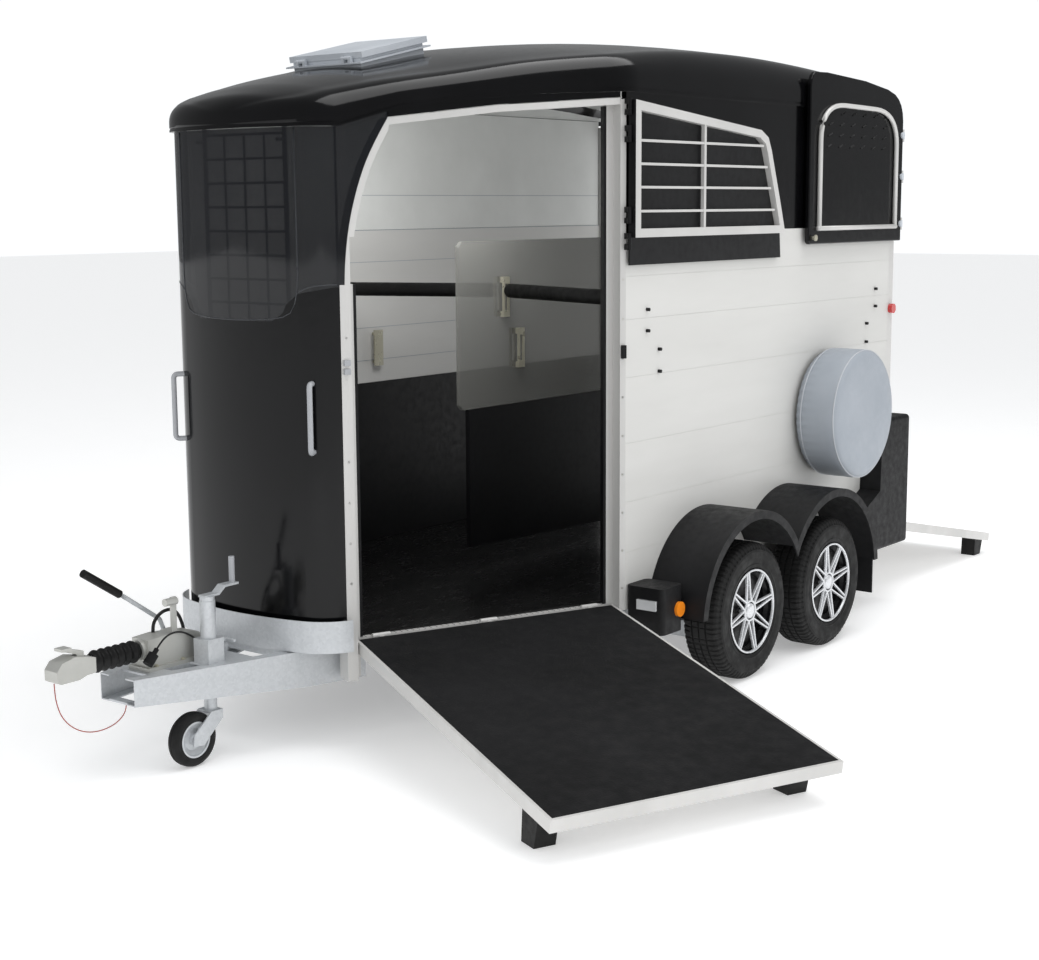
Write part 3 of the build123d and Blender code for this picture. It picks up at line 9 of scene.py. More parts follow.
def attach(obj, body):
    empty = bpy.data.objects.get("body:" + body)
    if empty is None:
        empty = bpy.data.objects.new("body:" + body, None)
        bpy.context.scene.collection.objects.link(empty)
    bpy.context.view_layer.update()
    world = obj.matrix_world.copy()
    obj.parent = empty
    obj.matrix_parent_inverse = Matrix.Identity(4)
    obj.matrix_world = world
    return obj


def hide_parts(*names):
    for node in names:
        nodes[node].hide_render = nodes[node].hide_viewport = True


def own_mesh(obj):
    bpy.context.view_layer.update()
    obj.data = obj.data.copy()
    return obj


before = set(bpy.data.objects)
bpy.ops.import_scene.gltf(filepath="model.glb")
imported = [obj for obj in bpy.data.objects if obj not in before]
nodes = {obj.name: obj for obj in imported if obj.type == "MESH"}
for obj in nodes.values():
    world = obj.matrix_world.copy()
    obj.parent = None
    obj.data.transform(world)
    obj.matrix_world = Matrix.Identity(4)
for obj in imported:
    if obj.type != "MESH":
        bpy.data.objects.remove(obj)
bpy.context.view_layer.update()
MM = 0.001
ROOT = "trailer_body"


# ---- materials ----
def shader_tree(name):
    """A new material with its tree and Principled shader."""
    made = bpy.data.materials.new(name)
    made.use_nodes = True
    tree = made.node_tree
    return made, tree, tree.nodes["Principled BSDF"]


def place(tree, stretch=(1, 1, 1)):
    """Object coordinates, stretched."""
    coordinates = tree.nodes.new("ShaderNodeTexCoord")
    mapping = tree.nodes.new("ShaderNodeMapping")
    mapping.inputs["Scale"].default_value = stretch
    tree.links.new(coordinates.outputs["Object"], mapping.inputs["Vector"])
    return mapping.outputs["Vector"]


def noise(tree, where, scale, detail=4.0, rough=0.55):
    made = tree.nodes.new("ShaderNodeTexNoise")
    made.inputs["Scale"].default_value = scale
    made.inputs["Detail"].default_value = detail
    made.inputs["Roughness"].default_value = rough
    tree.links.new(where, made.inputs["Vector"])
    return made.outputs["Fac"]


def spread(tree, value, low, high, start=0.3, stop=0.7):
    """Value from start..stop mapped to low..high."""
    made = tree.nodes.new("ShaderNodeMapRange")
    made.inputs["From Min"].default_value = start
    made.inputs["From Max"].default_value = stop
    made.inputs["To Min"].default_value = low
    made.inputs["To Max"].default_value = high
    tree.links.new(value, made.inputs["Value"])
    return made.outputs["Result"]


def two_colours(tree, value, first, second):
    made = tree.nodes.new("ShaderNodeMix")
    made.data_type = "RGBA"
    made.inputs["A"].default_value = (*first, 1)
    made.inputs["B"].default_value = (*second, 1)
    tree.links.new(value, made.inputs["Factor"])
    return made.outputs["Result"]


def relief(tree, shader, value, height):
    made = tree.nodes.new("ShaderNodeBump")
    made.inputs["Distance"].default_value = height
    made.inputs["Strength"].default_value = 0.6
    tree.links.new(value, made.inputs["Height"])
    tree.links.new(made.outputs["Normal"], shader.inputs["Normal"])


def finish_of(name, dark, light, rough, metal=0.0, grain=30.0, height=0.0, fine=400.0, coat=0.0,
              stretch=(1, 1, 1), patch=3.0, gleam=0.5):
    """Material with slow colour drift, roughness that varies with fine grain, and a fine relief."""
    made, tree, shader = shader_tree(name)
    where = place(tree, stretch)
    slow = noise(tree, where, patch)
    mid = noise(tree, where, grain)
    tiny = noise(tree, where, fine, 2.0)
    tree.links.new(two_colours(tree, spread(tree, slow, 0, 1), dark, light), shader.inputs["Base Color"])
    tree.links.new(spread(tree, mid, rough * 0.8, min(rough * 1.25, 1)), shader.inputs["Roughness"])
    shader.inputs["Metallic"].default_value = metal
    shader.inputs["Specular IOR Level"].default_value = gleam
    shader.inputs["Coat Weight"].default_value = coat
    shader.inputs["Coat Roughness"].default_value = 0.03
    if height:
        relief(tree, shader, tiny, height)
    return made


def zinc_finish(name, dark, light, rough):
    """Hot-dip zinc, with its crystal spangle."""
    made, tree, shader = shader_tree(name)
    where = place(tree)
    cells = tree.nodes.new("ShaderNodeTexVoronoi")
    cells.inputs["Scale"].default_value = 110.0
    tree.links.new(where, cells.inputs["Vector"])
    grey = tree.nodes.new("ShaderNodeSeparateColor")
    tree.links.new(cells.outputs["Color"], grey.inputs["Color"])
    cloud = noise(tree, where, 6.0)
    tree.links.new(two_colours(tree, grey.outputs["Red"], dark, light), shader.inputs["Base Color"])
    tree.links.new(spread(tree, cloud, rough * 0.8, rough * 1.3), shader.inputs["Roughness"])
    shader.inputs["Metallic"].default_value = 0.35
    relief(tree, shader, noise(tree, where, 140.0), 0.0004)
    return made


def rubber_mat_finish():
    """Ramp rubber with a hammered grain and dusty wear."""
    made, tree, shader = shader_tree("Ramp rubber")
    shader.inputs["Specular IOR Level"].default_value = 0.2
    where = place(tree)
    pits = tree.nodes.new("ShaderNodeTexVoronoi")
    pits.inputs["Scale"].default_value = 160.0
    pits.feature = "SMOOTH_F1"
    tree.links.new(where, pits.inputs["Vector"])
    dust = noise(tree, where, 2.2, 6.0)
    tree.links.new(two_colours(tree, spread(tree, dust, 0, 1), (0.005, 0.005, 0.0055), (0.011, 0.011,
                                                                                        0.012)),
                   shader.inputs["Base Color"])
    tree.links.new(spread(tree, noise(tree, where, 18.0), 0.62, 0.8), shader.inputs["Roughness"])
    relief(tree, shader, pits.outputs["Distance"], 0.0015)
    return made


def see_through(name, dark, light, cover, rough):
    """Smoked sheet that lets what is behind it show."""
    made, tree, shader = shader_tree(name)
    where = place(tree)
    tree.links.new(two_colours(tree, noise(tree, where, 2.0), dark, light), shader.inputs["Base Color"])
    tree.links.new(spread(tree, noise(tree, where, 9.0), rough * 0.8, rough * 1.3),
                   shader.inputs["Roughness"])
    shader.inputs["Alpha"].default_value = cover
    return made


PAINT = finish_of("Black gloss", (0.0012, 0.0012, 0.0015), (0.003, 0.003, 0.0036), 0.13, height=0.00004,
                  fine=90.0,
                  gleam=0.3)
PLANK = finish_of("White plank", (0.58, 0.575, 0.555), (0.65, 0.645, 0.625), 0.4, height=0.00008, fine=260.0,
                  stretch=(0.2, 0.2, 1))
INNER_WHITE = finish_of("White inner sheet", (0.68, 0.69, 0.67), (0.76, 0.77, 0.75), 0.45, height=0.0001,
                        fine=240.0)
TRIM = finish_of("Anodised trim", (0.56, 0.555, 0.54), (0.66, 0.65, 0.635), 0.38, metal=0.25, height=0.00006,
                 fine=500.0, stretch=(1, 1, 0.1))
MOULDING = finish_of("Grained moulding", (0.005, 0.005, 0.0055), (0.011, 0.011, 0.012), 0.52, height=0.0005,
                     fine=520.0, gleam=0.25)
DEEP_BLACKS = (0.004, 0.004, 0.0045), (0.009, 0.009, 0.01)
SATIN_BLACK = finish_of("Satin black", *DEEP_BLACKS, 0.4, height=0.0001, gleam=0.25)
LINING = finish_of("Wall rubber", *DEEP_BLACKS, 0.42, height=0.0004, fine=240.0, gleam=0.25)
FLOOR_RUBBER = finish_of("Floor rubber", (0.004, 0.004, 0.004), (0.01, 0.01, 0.01), 0.24, height=0.0003,
                         fine=120.0, stretch=(0.3, 1, 1), gleam=0.25)
TYRE = finish_of("Tyre rubber", (0.008, 0.008, 0.008), (0.016, 0.016, 0.016), 0.62, height=0.0005,
                 fine=300.0,
                 gleam=0.25)
ZINC = zinc_finish("Galvanised steel", (0.54, 0.56, 0.58), (0.6, 0.62, 0.64), 0.36)
PLATED = finish_of("Yellow zinc plate", (0.42, 0.4, 0.3), (0.58, 0.56, 0.46), 0.3, metal=0.6, height=0.0002)
CAST = finish_of("Cast coupling", (0.5, 0.5, 0.47), (0.62, 0.62, 0.59), 0.4, metal=0.55, height=0.001,
                 fine=180.0)
VENT = finish_of("Vent plastic", (0.44, 0.47, 0.51), (0.54, 0.57, 0.61), 0.42, height=0.0003, fine=300.0)
HANDLE = finish_of("Handle plastic", (0.33, 0.34, 0.36), (0.42, 0.43, 0.45), 0.45, height=0.0004, fine=400.0)
LAMP = finish_of("Lamp amber", (0.8, 0.2, 0.01), (0.95, 0.3, 0.02), 0.12, coat=1.0, height=0.0004,
                 fine=200.0)
LAMP_RED = finish_of("Lamp red", (0.5, 0.01, 0.01), (0.62, 0.02, 0.015), 0.12, coat=1.0, height=0.0004,
                     fine=200.0)
LAMP_CLEAR = finish_of("Lamp clear", (0.5, 0.51, 0.52), (0.74, 0.75, 0.76), 0.1, coat=1.0,
                       height=0.0008, fine=160.0)
COVER = finish_of("Silver vinyl", (0.3, 0.33, 0.37), (0.36, 0.39, 0.43), 0.46, height=0.0006, fine=500.0)
SMOKED_PANEL = see_through("Smoked panel", (0.2, 0.2, 0.185), (0.25, 0.25, 0.235), 0.62, 0.16)
FOAM = finish_of("Bar foam", (0.004, 0.004, 0.004), (0.01, 0.01, 0.01), 0.6, height=0.0008, fine=350.0,
                 gleam=0.25)
CABLE = finish_of("Cable sheath", (0.006, 0.006, 0.006), (0.012, 0.012, 0.012), 0.4, height=0.0001)
WIRE = finish_of("Coated wire", (0.3, 0.05, 0.04), (0.42, 0.09, 0.07), 0.35, height=0.0001, fine=900.0)
WHEEL_BLACK = finish_of("Wheel black", (0.003, 0.003, 0.0035), (0.007, 0.007, 0.008), 0.28, height=0.0001,
                        gleam=0.25)
MACHINED = finish_of("Machined alloy", (0.66, 0.67, 0.69), (0.78, 0.79, 0.81), 0.26, metal=0.55,
                     height=0.00006)
PIPING = finish_of("Cover piping", (0.42, 0.44, 0.47), (0.5, 0.52, 0.55), 0.45, height=0.0003)
# Glazing seal: the seal is real dark rubber, but its grey is lighter than the black paint as a painted
# highlight along the pane edges.
SEAL_GREY_AND_PAINTED_HIGHLIGHT = finish_of("Glazing seal with painted highlight", (0.03, 0.032, 0.036), (0.05, 0.053, 0.06), 0.3, height=0.0002)
GRIP = finish_of("Grip rubber", (0.005, 0.005, 0.005), (0.012, 0.012, 0.012), 0.5, height=0.0006, fine=420.0,
                 gleam=0.25)
RAMP_RUBBER = rubber_mat_finish()
GLAZING = see_through("Smoked glazing", (0.004, 0.0045, 0.006), (0.008, 0.009, 0.012), 0.86, 0.04)

NODE_FINISH = {
    PAINT: ("nose_shell", "upper_side_panels"),
    PLANK: ("side_wall_near", "side_wall_off"),
    TRIM: ("rear_frame", "centre_post"),
    MOULDING: ("lamp_mouldings", "mudguards", "lighting_plug"),
    SATIN_BLACK: ("window_grille", "lower_partition"),
    LINING: ("wall_linings", "doorway_seal"),
    FLOOR_RUBBER: ("floor_deck",),
    TYRE: ("spare_wheel",),
    ZINC: ("chassis_frame", "drawbar_frame", "front_skirt", "axle_beams", "spare_carrier",
           "coupling_draw_tube",
           "jockey_sleeve", "jockey_clamp_handle", "jockey_tube"),
    CAST: ("coupling_housing", "coupling_head", "coupling_handle"),
    VENT: ("roof_vent_frame", "roof_vent_lid"),
    RAMP_RUBBER: ("side_ramp_mat",),
    GLAZING: ("front_window",),
}


def paint(piece, finish):
    piece.data.materials.clear()
    piece.data.materials.append(finish)


for finish, names in NODE_FINISH.items():
    for name in names:
        for slot in nodes[name].material_slots:
            slot.material = finish
        if not nodes[name].material_slots:
            nodes[name].data.materials.append(finish)

# ---- where things are, worked out from the frame ----
# the drawing's own origin: rear post of the side doorway, on the centre line
DRAWN = Vector((-0.810868, 0.507325, 0.0))


def at(x, y, z):
    """Point of the part's drawing, in millimetres, in the row's frame."""
    return DRAWN + Vector((x, y, z)) * MM


# ---- camera, light and floor ----
WORLD_LIGHT = 0.72
WORLD_SEEN = 1.04
WORLD_SHINE = 0.3


def shine_dimmed(tree, node, socket, plain, seen, shine):
    """Sets a value apart for what the camera sees, for reflections, and for the light that it gives."""
    rays = tree.nodes.new("ShaderNodeLightPath")
    value = plain
    for output, level in (("Is Glossy Ray", shine), ("Is Camera Ray", seen)):
        choice = tree.nodes.new("ShaderNodeMix")
        choice.data_type = "FLOAT"
        tree.links.new(rays.outputs[output], choice.inputs["Factor"])
        if isinstance(value, float):
            choice.inputs["A"].default_value = value
        else:
            tree.links.new(value, choice.inputs["A"])
        choice.inputs["B"].default_value = level
        value = choice.outputs["Result"]
    tree.links.new(value, tree.nodes[node].inputs[socket])


CAMERA_AT = at(-5668.24, -4743.63, 1994.92)
CAMERA_FORWARD = Vector((0.78133, 0.60429, -0.15610))
CAMERA_ROLL = radians(-0.379)
CAMERA_LENS = 59.89
FLOOR_HALF = 60
FLOOR_DROP = 0.0008
FLOOR_GLOW = 0.3


def studio():
    """Camera, pale floor, even surround and soft lights."""
    camera = bpy.data.objects.new("Camera", bpy.data.cameras.new("Camera"))
    bpy.context.collection.objects.link(camera)
    forward = CAMERA_FORWARD.normalized()
    right = forward.cross(Vector((0, 0, 1))).normalized()
    up = right.cross(forward)
    rolled_right = right * cos(CAMERA_ROLL) + up * sin(CAMERA_ROLL)
    rolled_up = up * cos(CAMERA_ROLL) - right * sin(CAMERA_ROLL)
    turn = Matrix((rolled_right, rolled_up, -forward)).transposed().to_4x4()
    camera.matrix_world = Matrix.Translation(CAMERA_AT) @ turn
    camera.data.sensor_width = 36.0
    camera.data.sensor_fit = "HORIZONTAL"
    camera.data.lens = CAMERA_LENS
    camera.data.clip_end = 200
    bpy.context.scene.camera = camera

    floor_mesh = bpy.data.meshes.new("Studio floor")
    corners = [(x * FLOOR_HALF, y * FLOOR_HALF, 0) for x, y in ((-1, -1), (1, -1), (1, 1), (-1, 1))]
    floor_mesh.from_pydata(corners, [], [(0, 1, 2, 3)])
    floor = bpy.data.objects.new("Studio floor", floor_mesh)
    bpy.context.collection.objects.link(floor)
    white = finish_of("Studio white", (0.86, 0.86, 0.86), (0.88, 0.88, 0.88), 0.6, gleam=0.1)
    glow = white.node_tree.nodes["Principled BSDF"].inputs
    glow["Emission Color"].default_value = (1, 1, 1, 1)
    glow["Emission Strength"].default_value = FLOOR_GLOW
    floor.data.materials.append(white)
    floor.location.z = -FLOOR_DROP

    bpy.context.scene.view_settings.view_transform = "Standard"
    world = bpy.data.worlds.new("Studio")
    world.use_nodes = True
    bpy.context.scene.world = world
    world.node_tree.nodes["Background"].inputs["Color"].default_value = (0.97, 0.985, 1, 1)
    shine_dimmed(world.node_tree, "Background", "Strength", WORLD_LIGHT, WORLD_SEEN, WORLD_SHINE)

    def softbox(name, place_at, target, wide, tall, power, seen=True):
        light = bpy.data.lights.new(name, "AREA")
        light.shape = "RECTANGLE"
        light.size = wide
        light.size_y = tall
        light.energy = power
        made = bpy.data.objects.new(name, light)
        made.location = place_at
        made.rotation_euler = (Vector(target) - Vector(place_at)).to_track_quat("-Z", "Y").to_euler()
        made.visible_camera = False
        made.visible_glossy = seen
        bpy.context.collection.objects.link(made)

    softbox("Overhead", (0.5, -1.5, 7.5), (0, 0, 1), 7, 5, 300)
    softbox("Side fill", (1.5, -8.5, 4.0), (0, 0, 1.2), 6, 4, 130, seen=False)
    softbox("Front fill", (-7.5, -2.6, 3.0), (-2, 0, 1.0), 3, 3, 60, seen=False)
    softbox("Inside", at(-150, -150, 2230), at(100, 700, 1300), 0.9, 0.6, 12, seen=False)


studio()

# ---- mesh helpers ----
def solid(name, points, faces, finish, body, material_slot, smooth=False, stands_for=()):
    """Plain mesh piece that rides on a body."""
    mesh = bpy.data.meshes.new(name)
    mesh.from_pydata([tuple(point) for point in points], [], faces)
    build = bmesh.new()
    build.from_mesh(mesh)
    bmesh.ops.remove_doubles(build, verts=build.verts, dist=0.00002)
    bmesh.ops.recalc_face_normals(build, faces=build.faces)
    for face in build.faces:
        face.smooth = smooth
    build.to_mesh(mesh)
    build.free()
    return piece_from(name, mesh, finish, body, stands_for)


def piece_from(name, mesh, finish, body, stands_for=()):
    piece = bpy.data.objects.new(name.replace(" ", "_"), mesh)
    bpy.context.collection.objects.link(piece)
    paint(piece, finish)
    if stands_for:
        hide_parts(*stands_for)
    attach(piece, body)
    return piece


def frame_of(start, end):
    """Three unit directions, the last from start to end."""
    w = (end - start).normalized()
    side = Vector((0, 0, 1)) if abs(w.z) < 0.9 else Vector((1, 0, 0))
    u = side.cross(w).normalized()
    return u, w.cross(u), w


def lathe(profile, start, end, steps=96, shape=None):
    """Points and faces of a closed profile (radius, distance along, in mm) turned about start to end."""
    u, v, w = frame_of(start, end)
    points = []
    for step in range(steps):
        angle = 2 * pi * step / steps
        out = u * cos(angle) + v * sin(angle)
        for index, (radius, reach) in enumerate(profile):
            if shape:
                radius, reach = shape(angle, index, radius, reach)
            points.append(start + out * radius * MM + w * reach * MM)
    count = len(profile)
    faces = []
    for step in range(steps):
        after = (step + 1) % steps
        for index in range(count):
            following = (index + 1) % count
            faces.append((step * count + index, after * count + index, after * count + following,
                          step * count + following))
    return points, faces


def block(corners_low, corners_high):
    """Points and faces of a prism between two outlines with as many points."""
    count = len(corners_low)
    faces = [tuple(range(count))[::-1], tuple(range(count, 2 * count))]
    for index in range(count):
        after = (index + 1) % count
        faces.append((index, after, count + after, count + index))
    return list(corners_low) + list(corners_high), faces


def joined(parts):
    points, faces = [], []
    for more_points, more_faces in parts:
        shift = len(points)
        points += more_points
        faces += [tuple(index + shift for index in face) for face in more_faces]
    return points, faces


def rounded(piece, width, segments=2):
    bevel = piece.modifiers.new("Soft edges", "BEVEL")
    bevel.width = width * MM
    bevel.segments = segments
    bevel.limit_method = "ANGLE"
    bevel.harden_normals = False
    return piece


def rail(points, radius, steps=12):
    """Round bar through points, as mesh data."""
    parts = []
    rings = []
    for index, point in enumerate(points):
        before = points[max(index - 1, 0)]
        after = points[min(index + 1, len(points) - 1)]
        u, v, _ = frame_of(before, after)
        rings.append([point + (u * cos(2 * pi * s / steps) + v * sin(2 * pi * s / steps)) * radius * MM
                      for s in range(steps)])
    spots = [spot for ring in rings for spot in ring]
    faces = [tuple(range(steps))[::-1], tuple(range(len(spots) - steps, len(spots)))]
    for index in range(len(rings) - 1):
        for s in range(steps):
            after = (s + 1) % steps
            faces.append((index * steps + s, index * steps + after, (index + 1) * steps + after,
                          (index + 1) * steps + s))
    parts.append((spots, faces))
    return joined(parts)


def curved(points, share=0.3, steps=5):
    """Path with its corners rounded by quadratic arcs."""
    path = [points[0]]
    for before, corner, after in zip(points, points[1:], points[2:]):
        start = corner.lerp(before, share)
        end = corner.lerp(after, share)
        for step in range(steps + 1):
            t = step / steps
            path.append(start.lerp(corner, t).lerp(corner.lerp(end, t), t))
    return path + [points[-1]]


# ---- wheels ----
WHEEL_R = 294.5
RIM_R = 181.0
WHEEL_FACE = 1150.0


def tyre_piece(name, centre_x, side, body):
    """Radial tyre: rounded shoulders, three grooves round the tread, sipes across the shoulders."""
    start = at(centre_x, side * (WHEEL_FACE + 2), WHEEL_R)
    end = at(centre_x, side * (WHEEL_FACE - 183), WHEEL_R)
    tread = [(WHEEL_R - 24, 9), (WHEEL_R - 11, 15), (WHEEL_R - 3.5, 25), (WHEEL_R - 0.6, 37), (WHEEL_R, 55),
             (WHEEL_R - 7, 57), (WHEEL_R - 7, 63), (WHEEL_R, 65), (WHEEL_R, 87), (WHEEL_R - 7, 89),
             (WHEEL_R - 7, 96), (WHEEL_R, 98), (WHEEL_R, 120), (WHEEL_R - 7, 122), (WHEEL_R - 7, 128),
             (WHEEL_R, 130), (WHEEL_R - 0.6, 148), (WHEEL_R - 3.5, 160), (WHEEL_R - 11, 170),
             (WHEEL_R - 24, 176)]
    outer_wall = [(RIM_R + 1, 13), (RIM_R + 6, 6), (RIM_R + 16, 4), (RIM_R + 19, 2.2), (RIM_R + 22, 2.2),
                  (RIM_R + 25, 3.4), (RIM_R + 52, 0.4), (RIM_R + 74, 0.6), (RIM_R + 77, 2), (RIM_R + 82, 3)]
    inner_wall = [(RIM_R + 60, 184), (RIM_R + 20, 183), (RIM_R + 1, 172)]
    profile = outer_wall + tread + inner_wall
    first = len(outer_wall)
    blocks = 72

    def sipe(angle, index, radius, reach):
        place_in = (angle / (2 * pi) * blocks) % 1.0
        in_shoulder = first <= index <= first + 3 or first + 16 <= index <= first + 19
        if in_shoulder and place_in < 0.26:
            radius -= 6
        if first + 4 <= index <= first + 15 and index not in (first + 5, first + 6, first + 9, first + 10,
                                                              first + 13, first + 14) and place_in < 0.2:
            radius -= 3.5
        return radius, reach

    points, faces = lathe(profile, start, end, blocks * 5, sipe)
    return solid(name, points, faces, TYRE, body, "tyre_rubber", smooth=False,
                 stands_for=(name_of_cad("tyre", name),))


def name_of_cad(kind, name):
    """CAD node for a piece called "... front near" and the like."""
    words = name.lower().split()
    return "_".join([kind] + words[-2:])


def spoke_bar(centre, side, angle, offset, inner, outer, wide_in, wide_out, depth_in, depth_out):
    """One bar of a spoke, from the hub to the rim, its face leaning back towards the hub."""
    along_bar = Vector((cos(angle), 0, sin(angle)))
    across = Vector((-sin(angle), 0, cos(angle)))
    face_way = Vector((0, side, 0))

    def corner(reach, shift, depth):
        return centre + (along_bar * reach + across * shift - face_way * depth) * MM

    front = [corner(inner, offset[0] - wide_in / 2, depth_in), corner(outer, offset[1] - wide_out / 2,
                                                                      depth_out),
             corner(outer, offset[1] + wide_out / 2, depth_out), corner(inner, offset[0] + wide_in / 2,
                                                                        depth_in)]
    back = [corner(inner, offset[0] - wide_in / 2 - 2, depth_in + 10),
            corner(outer, offset[1] - wide_out / 2 - 2, depth_out + 10),
            corner(outer, offset[1] + wide_out / 2 + 2, depth_out + 10),
            corner(inner, offset[0] + wide_in / 2 + 2, depth_in + 10)]
    return block(front, back)


def rim_piece(name, centre_x, side, body):
    """Alloy wheel: black barrel and windows, eight pairs of machined bars, lip, cap and wheel bolts."""
    cad = name_of_cad("rim", name)
    face = at(centre_x, side * WHEEL_FACE, WHEEL_R)
    back = at(centre_x, side * (WHEEL_FACE - 165), WHEEL_R)
    barrel = [(RIM_R - 5, 4), (RIM_R - 9, 26), (RIM_R - 22, 40), (RIM_R - 26, 60), (RIM_R - 26, 150),
              (RIM_R - 6, 165), (RIM_R, 165), (RIM_R, 150), (RIM_R - 18, 140), (RIM_R - 18, 60),
              (RIM_R - 1, 30),
              (RIM_R, 4)]
    dish = [(RIM_R - 24, 46), (70, 42), (54, 30), (52, 22), (36, 20), (36, 40), (54, 60), (RIM_R - 24, 60)]
    shell = joined([lathe(barrel, face, back), lathe(dish, face, back)])
    made = solid(name, *shell, WHEEL_BLACK, body, "alloy_wheel", smooth=False, stands_for=(cad,))
    bars = []
    for step in range(8):
        angle = 2 * pi * step / 8 + 0.2
        for way in (-1, 1):
            bars.append(spoke_bar(face, side, angle, (way * 16, way * 7.5), 40, RIM_R - 9, 7, 7.5, 14, 5))
    lip = [(RIM_R - 10, 7), (RIM_R - 8, 1), (RIM_R - 3, 0), (RIM_R, 3), (RIM_R - 2, 8), (RIM_R - 9, 12)]
    ring = [(38, 14), (46, 13), (48, 20), (38, 20)]
    machined = joined(bars + [lathe(lip, face, back, 128), lathe(ring, face, back, 64)])
    rounded(solid(name + " bars", *machined, MACHINED, body, "alloy_wheel"), 1.2)
    cap = [(0.5, 9), (20, 9.5), (30, 12), (34, 18), (34, 30), (0.5, 30)]
    bolts = []
    for step in range(5):
        angle = 2 * pi * step / 5 + 0.5
        spot = Vector((cos(angle), 0, sin(angle))) * 53 * MM
        bolts.append(lathe([(0.5, 24), (8, 24), (9, 27), (9, 44), (0.5, 44)], face + spot, back + spot, 6))
    solid(name + " cap", *joined([lathe(cap, face, back, 48)] + bolts), MACHINED, body, "alloy_wheel")
    return made


for word, centre_x in (("front", 593.0), ("rear", 1298.0)):
    for hand, side in (("near", -1), ("off", 1)):
        body = f"wheel_{word}_{hand}"
        tyre_piece(f"Tyre {word} {hand}", centre_x, side, body)
        rim_piece(f"Alloy wheel {word} {hand}", centre_x, side, body)

# ---- roof ----
ROOF_FRONT = -1282.0
ROOF_ROWS = [(-1120.4, 428.8, 2442, 2282), (-900, 522, 2494, 2352), (-650, 629, 2542, 2386),
             (-350, 755, 2600, 2416), (0, 905, 2648, 2434), (450, 905, 2688, 2434), (950, 905, 2700, 2434),
             (1450, 905, 2688, 2434), (1950, 905, 2656, 2434), (2378, 905, 2604, 2434)]


def visor_rows():
    """Stations over the nose, rounded in plan like the nose and along its top edge."""
    x_end, wide, crown_end, edge = ROOF_ROWS[0]
    deep = x_end - ROOF_FRONT
    rows = []
    for back in (0.4, 1.5, 4, 8, 14, 22, 32, 44, 58, 76, 98, 124):
        width = wide * sqrt(1 - (1 - back / deep) ** 2)
        crown = 2384 + (crown_end - 2384) * back / deep
        low = edge + (crown - edge) * 0.5
        rise = sqrt(1 - (1 - min(back / 58, 1)) ** 2)
        rows.append((ROOF_FRONT + back, width, low + (crown - low) * rise, edge))
    return rows


def roof_row(x, width, crown, edge, inset):
    """Section across the roof: edge with a drip groove, round shoulder, shallow crown."""
    shoulder = crown - 66 * width / 905
    shoulder_y = width - min(105, width * 0.45)
    side = max(width - inset, width * 0.3)
    top = shoulder - inset
    low_side = edge + (top - edge) * 0.35
    groove = 3 if inset == 0 else 0
    half = [(side, edge), (side, edge + 8), (side - groove, edge + 9.5), (side - groove, edge + 14),
            (side, edge + 15.5), (side, (edge + 16 + low_side) / 2)]
    for step in range(9):
        angle = pi / 2 * step / 8
        half.append((shoulder_y + (side - shoulder_y) * cos(angle),
                     low_side + (top - low_side) * sin(angle)))
    for step in range(1, 9):
        share = 1 - step / 8
        y = shoulder_y * share
        half.append((y, crown - inset - (crown - shoulder) * share ** 2))
    return [(x, -y, z) for y, z in half] + [(x, y, z) for y, z in half[-2::-1]]


def blended_rows(rows, steps):
    """Stations joined by straight plan lines and smooth heights."""
    result = []
    for index in range(len(rows) - 1):
        before = rows[max(index - 1, 0)]
        start, end = rows[index], rows[index + 1]
        after = rows[min(index + 2, len(rows) - 1)]
        for step in range(steps):
            t = step / steps
            row = [start[0] + (end[0] - start[0]) * t]
            for column in (1, 2, 3):
                if column == 1:
                    row.append(start[1] + (end[1] - start[1]) * t)
                    continue
                span = end[0] - start[0]
                slope_in = (end[column] - before[column]) / max(end[0] - before[0], 1) * span
                slope_out = (after[column] - start[column]) / max(after[0] - start[0], 1) * span
                value = ((2 * t ** 3 - 3 * t ** 2 + 1) * start[column] + (t ** 3 - 2 * t ** 2 + t) * slope_in
                         + (-2 * t ** 3 + 3 * t ** 2) * end[column] + (t ** 3 - t ** 2) * slope_out)
                row.append(value if column == 2 else start[3] + (end[3] - start[3]) * t)
            result.append(tuple(row))
    return result + [rows[-1]]


def edge_smooth(piece, angle=35):
    """Smooth shading with edges sharper than the angle kept."""
    limit = radians(angle)
    build = bmesh.new()
    build.from_mesh(piece.data)
    for edge in build.edges:
        if len(edge.link_faces) == 2 and edge.calc_face_angle(0) > limit:
            edge.smooth = False
    for face in build.faces:
        face.smooth = True
    build.to_mesh(piece.data)
    build.free()


def roof_sheet(name, rows, outer_inset, inner_inset, finish, closed_front=False, **facts):
    """Shell between two insets of the roof's sections, open at the rear."""

    def set_back(x):
        first = ROOF_ROWS[0][0]
        return inner_inset * (first - x) / (first - ROOF_FRONT) if x < first else 0

    outer = [roof_row(x, width, crown, edge, outer_inset) for x, width, crown, edge in rows]
    inner = [roof_row(x + set_back(x), width, crown, edge, inner_inset) for x, width, crown, edge in rows]
    count = len(outer[0])
    points = [at(*point) for row in outer for point in row] + [at(*point) for row in inner for point in row]
    shift = len(outer) * count
    faces = []
    for r in range(len(rows) - 1):
        for c in range(count - 1):
            a, b = r * count + c, (r + 1) * count + c
            faces.append((a, b, b + 1, a + 1))
            faces.append((shift + a, shift + a + 1, shift + b + 1, shift + b))
        for c in (0, count - 1):
            a, b = r * count + c, (r + 1) * count + c
            faces.append((a, b, shift + b, shift + a))
    last = (len(rows) - 1) * count
    for c in range(count - 1):
        faces.append((last + c, last + c + 1, shift + last + c + 1, shift + last + c))
        if not closed_front:
            faces.append((c, c + 1, shift + c + 1, shift + c))
    if closed_front:
        front_edge = (0, shift, shift + count - 1, count - 1)
        faces += [tuple(range(count)), tuple(range(shift, shift + count))[::-1], front_edge]
    made = solid(name, points, faces, finish, ROOT, "black_body", smooth=True, **facts)
    edge_smooth(made, 32)
    return made


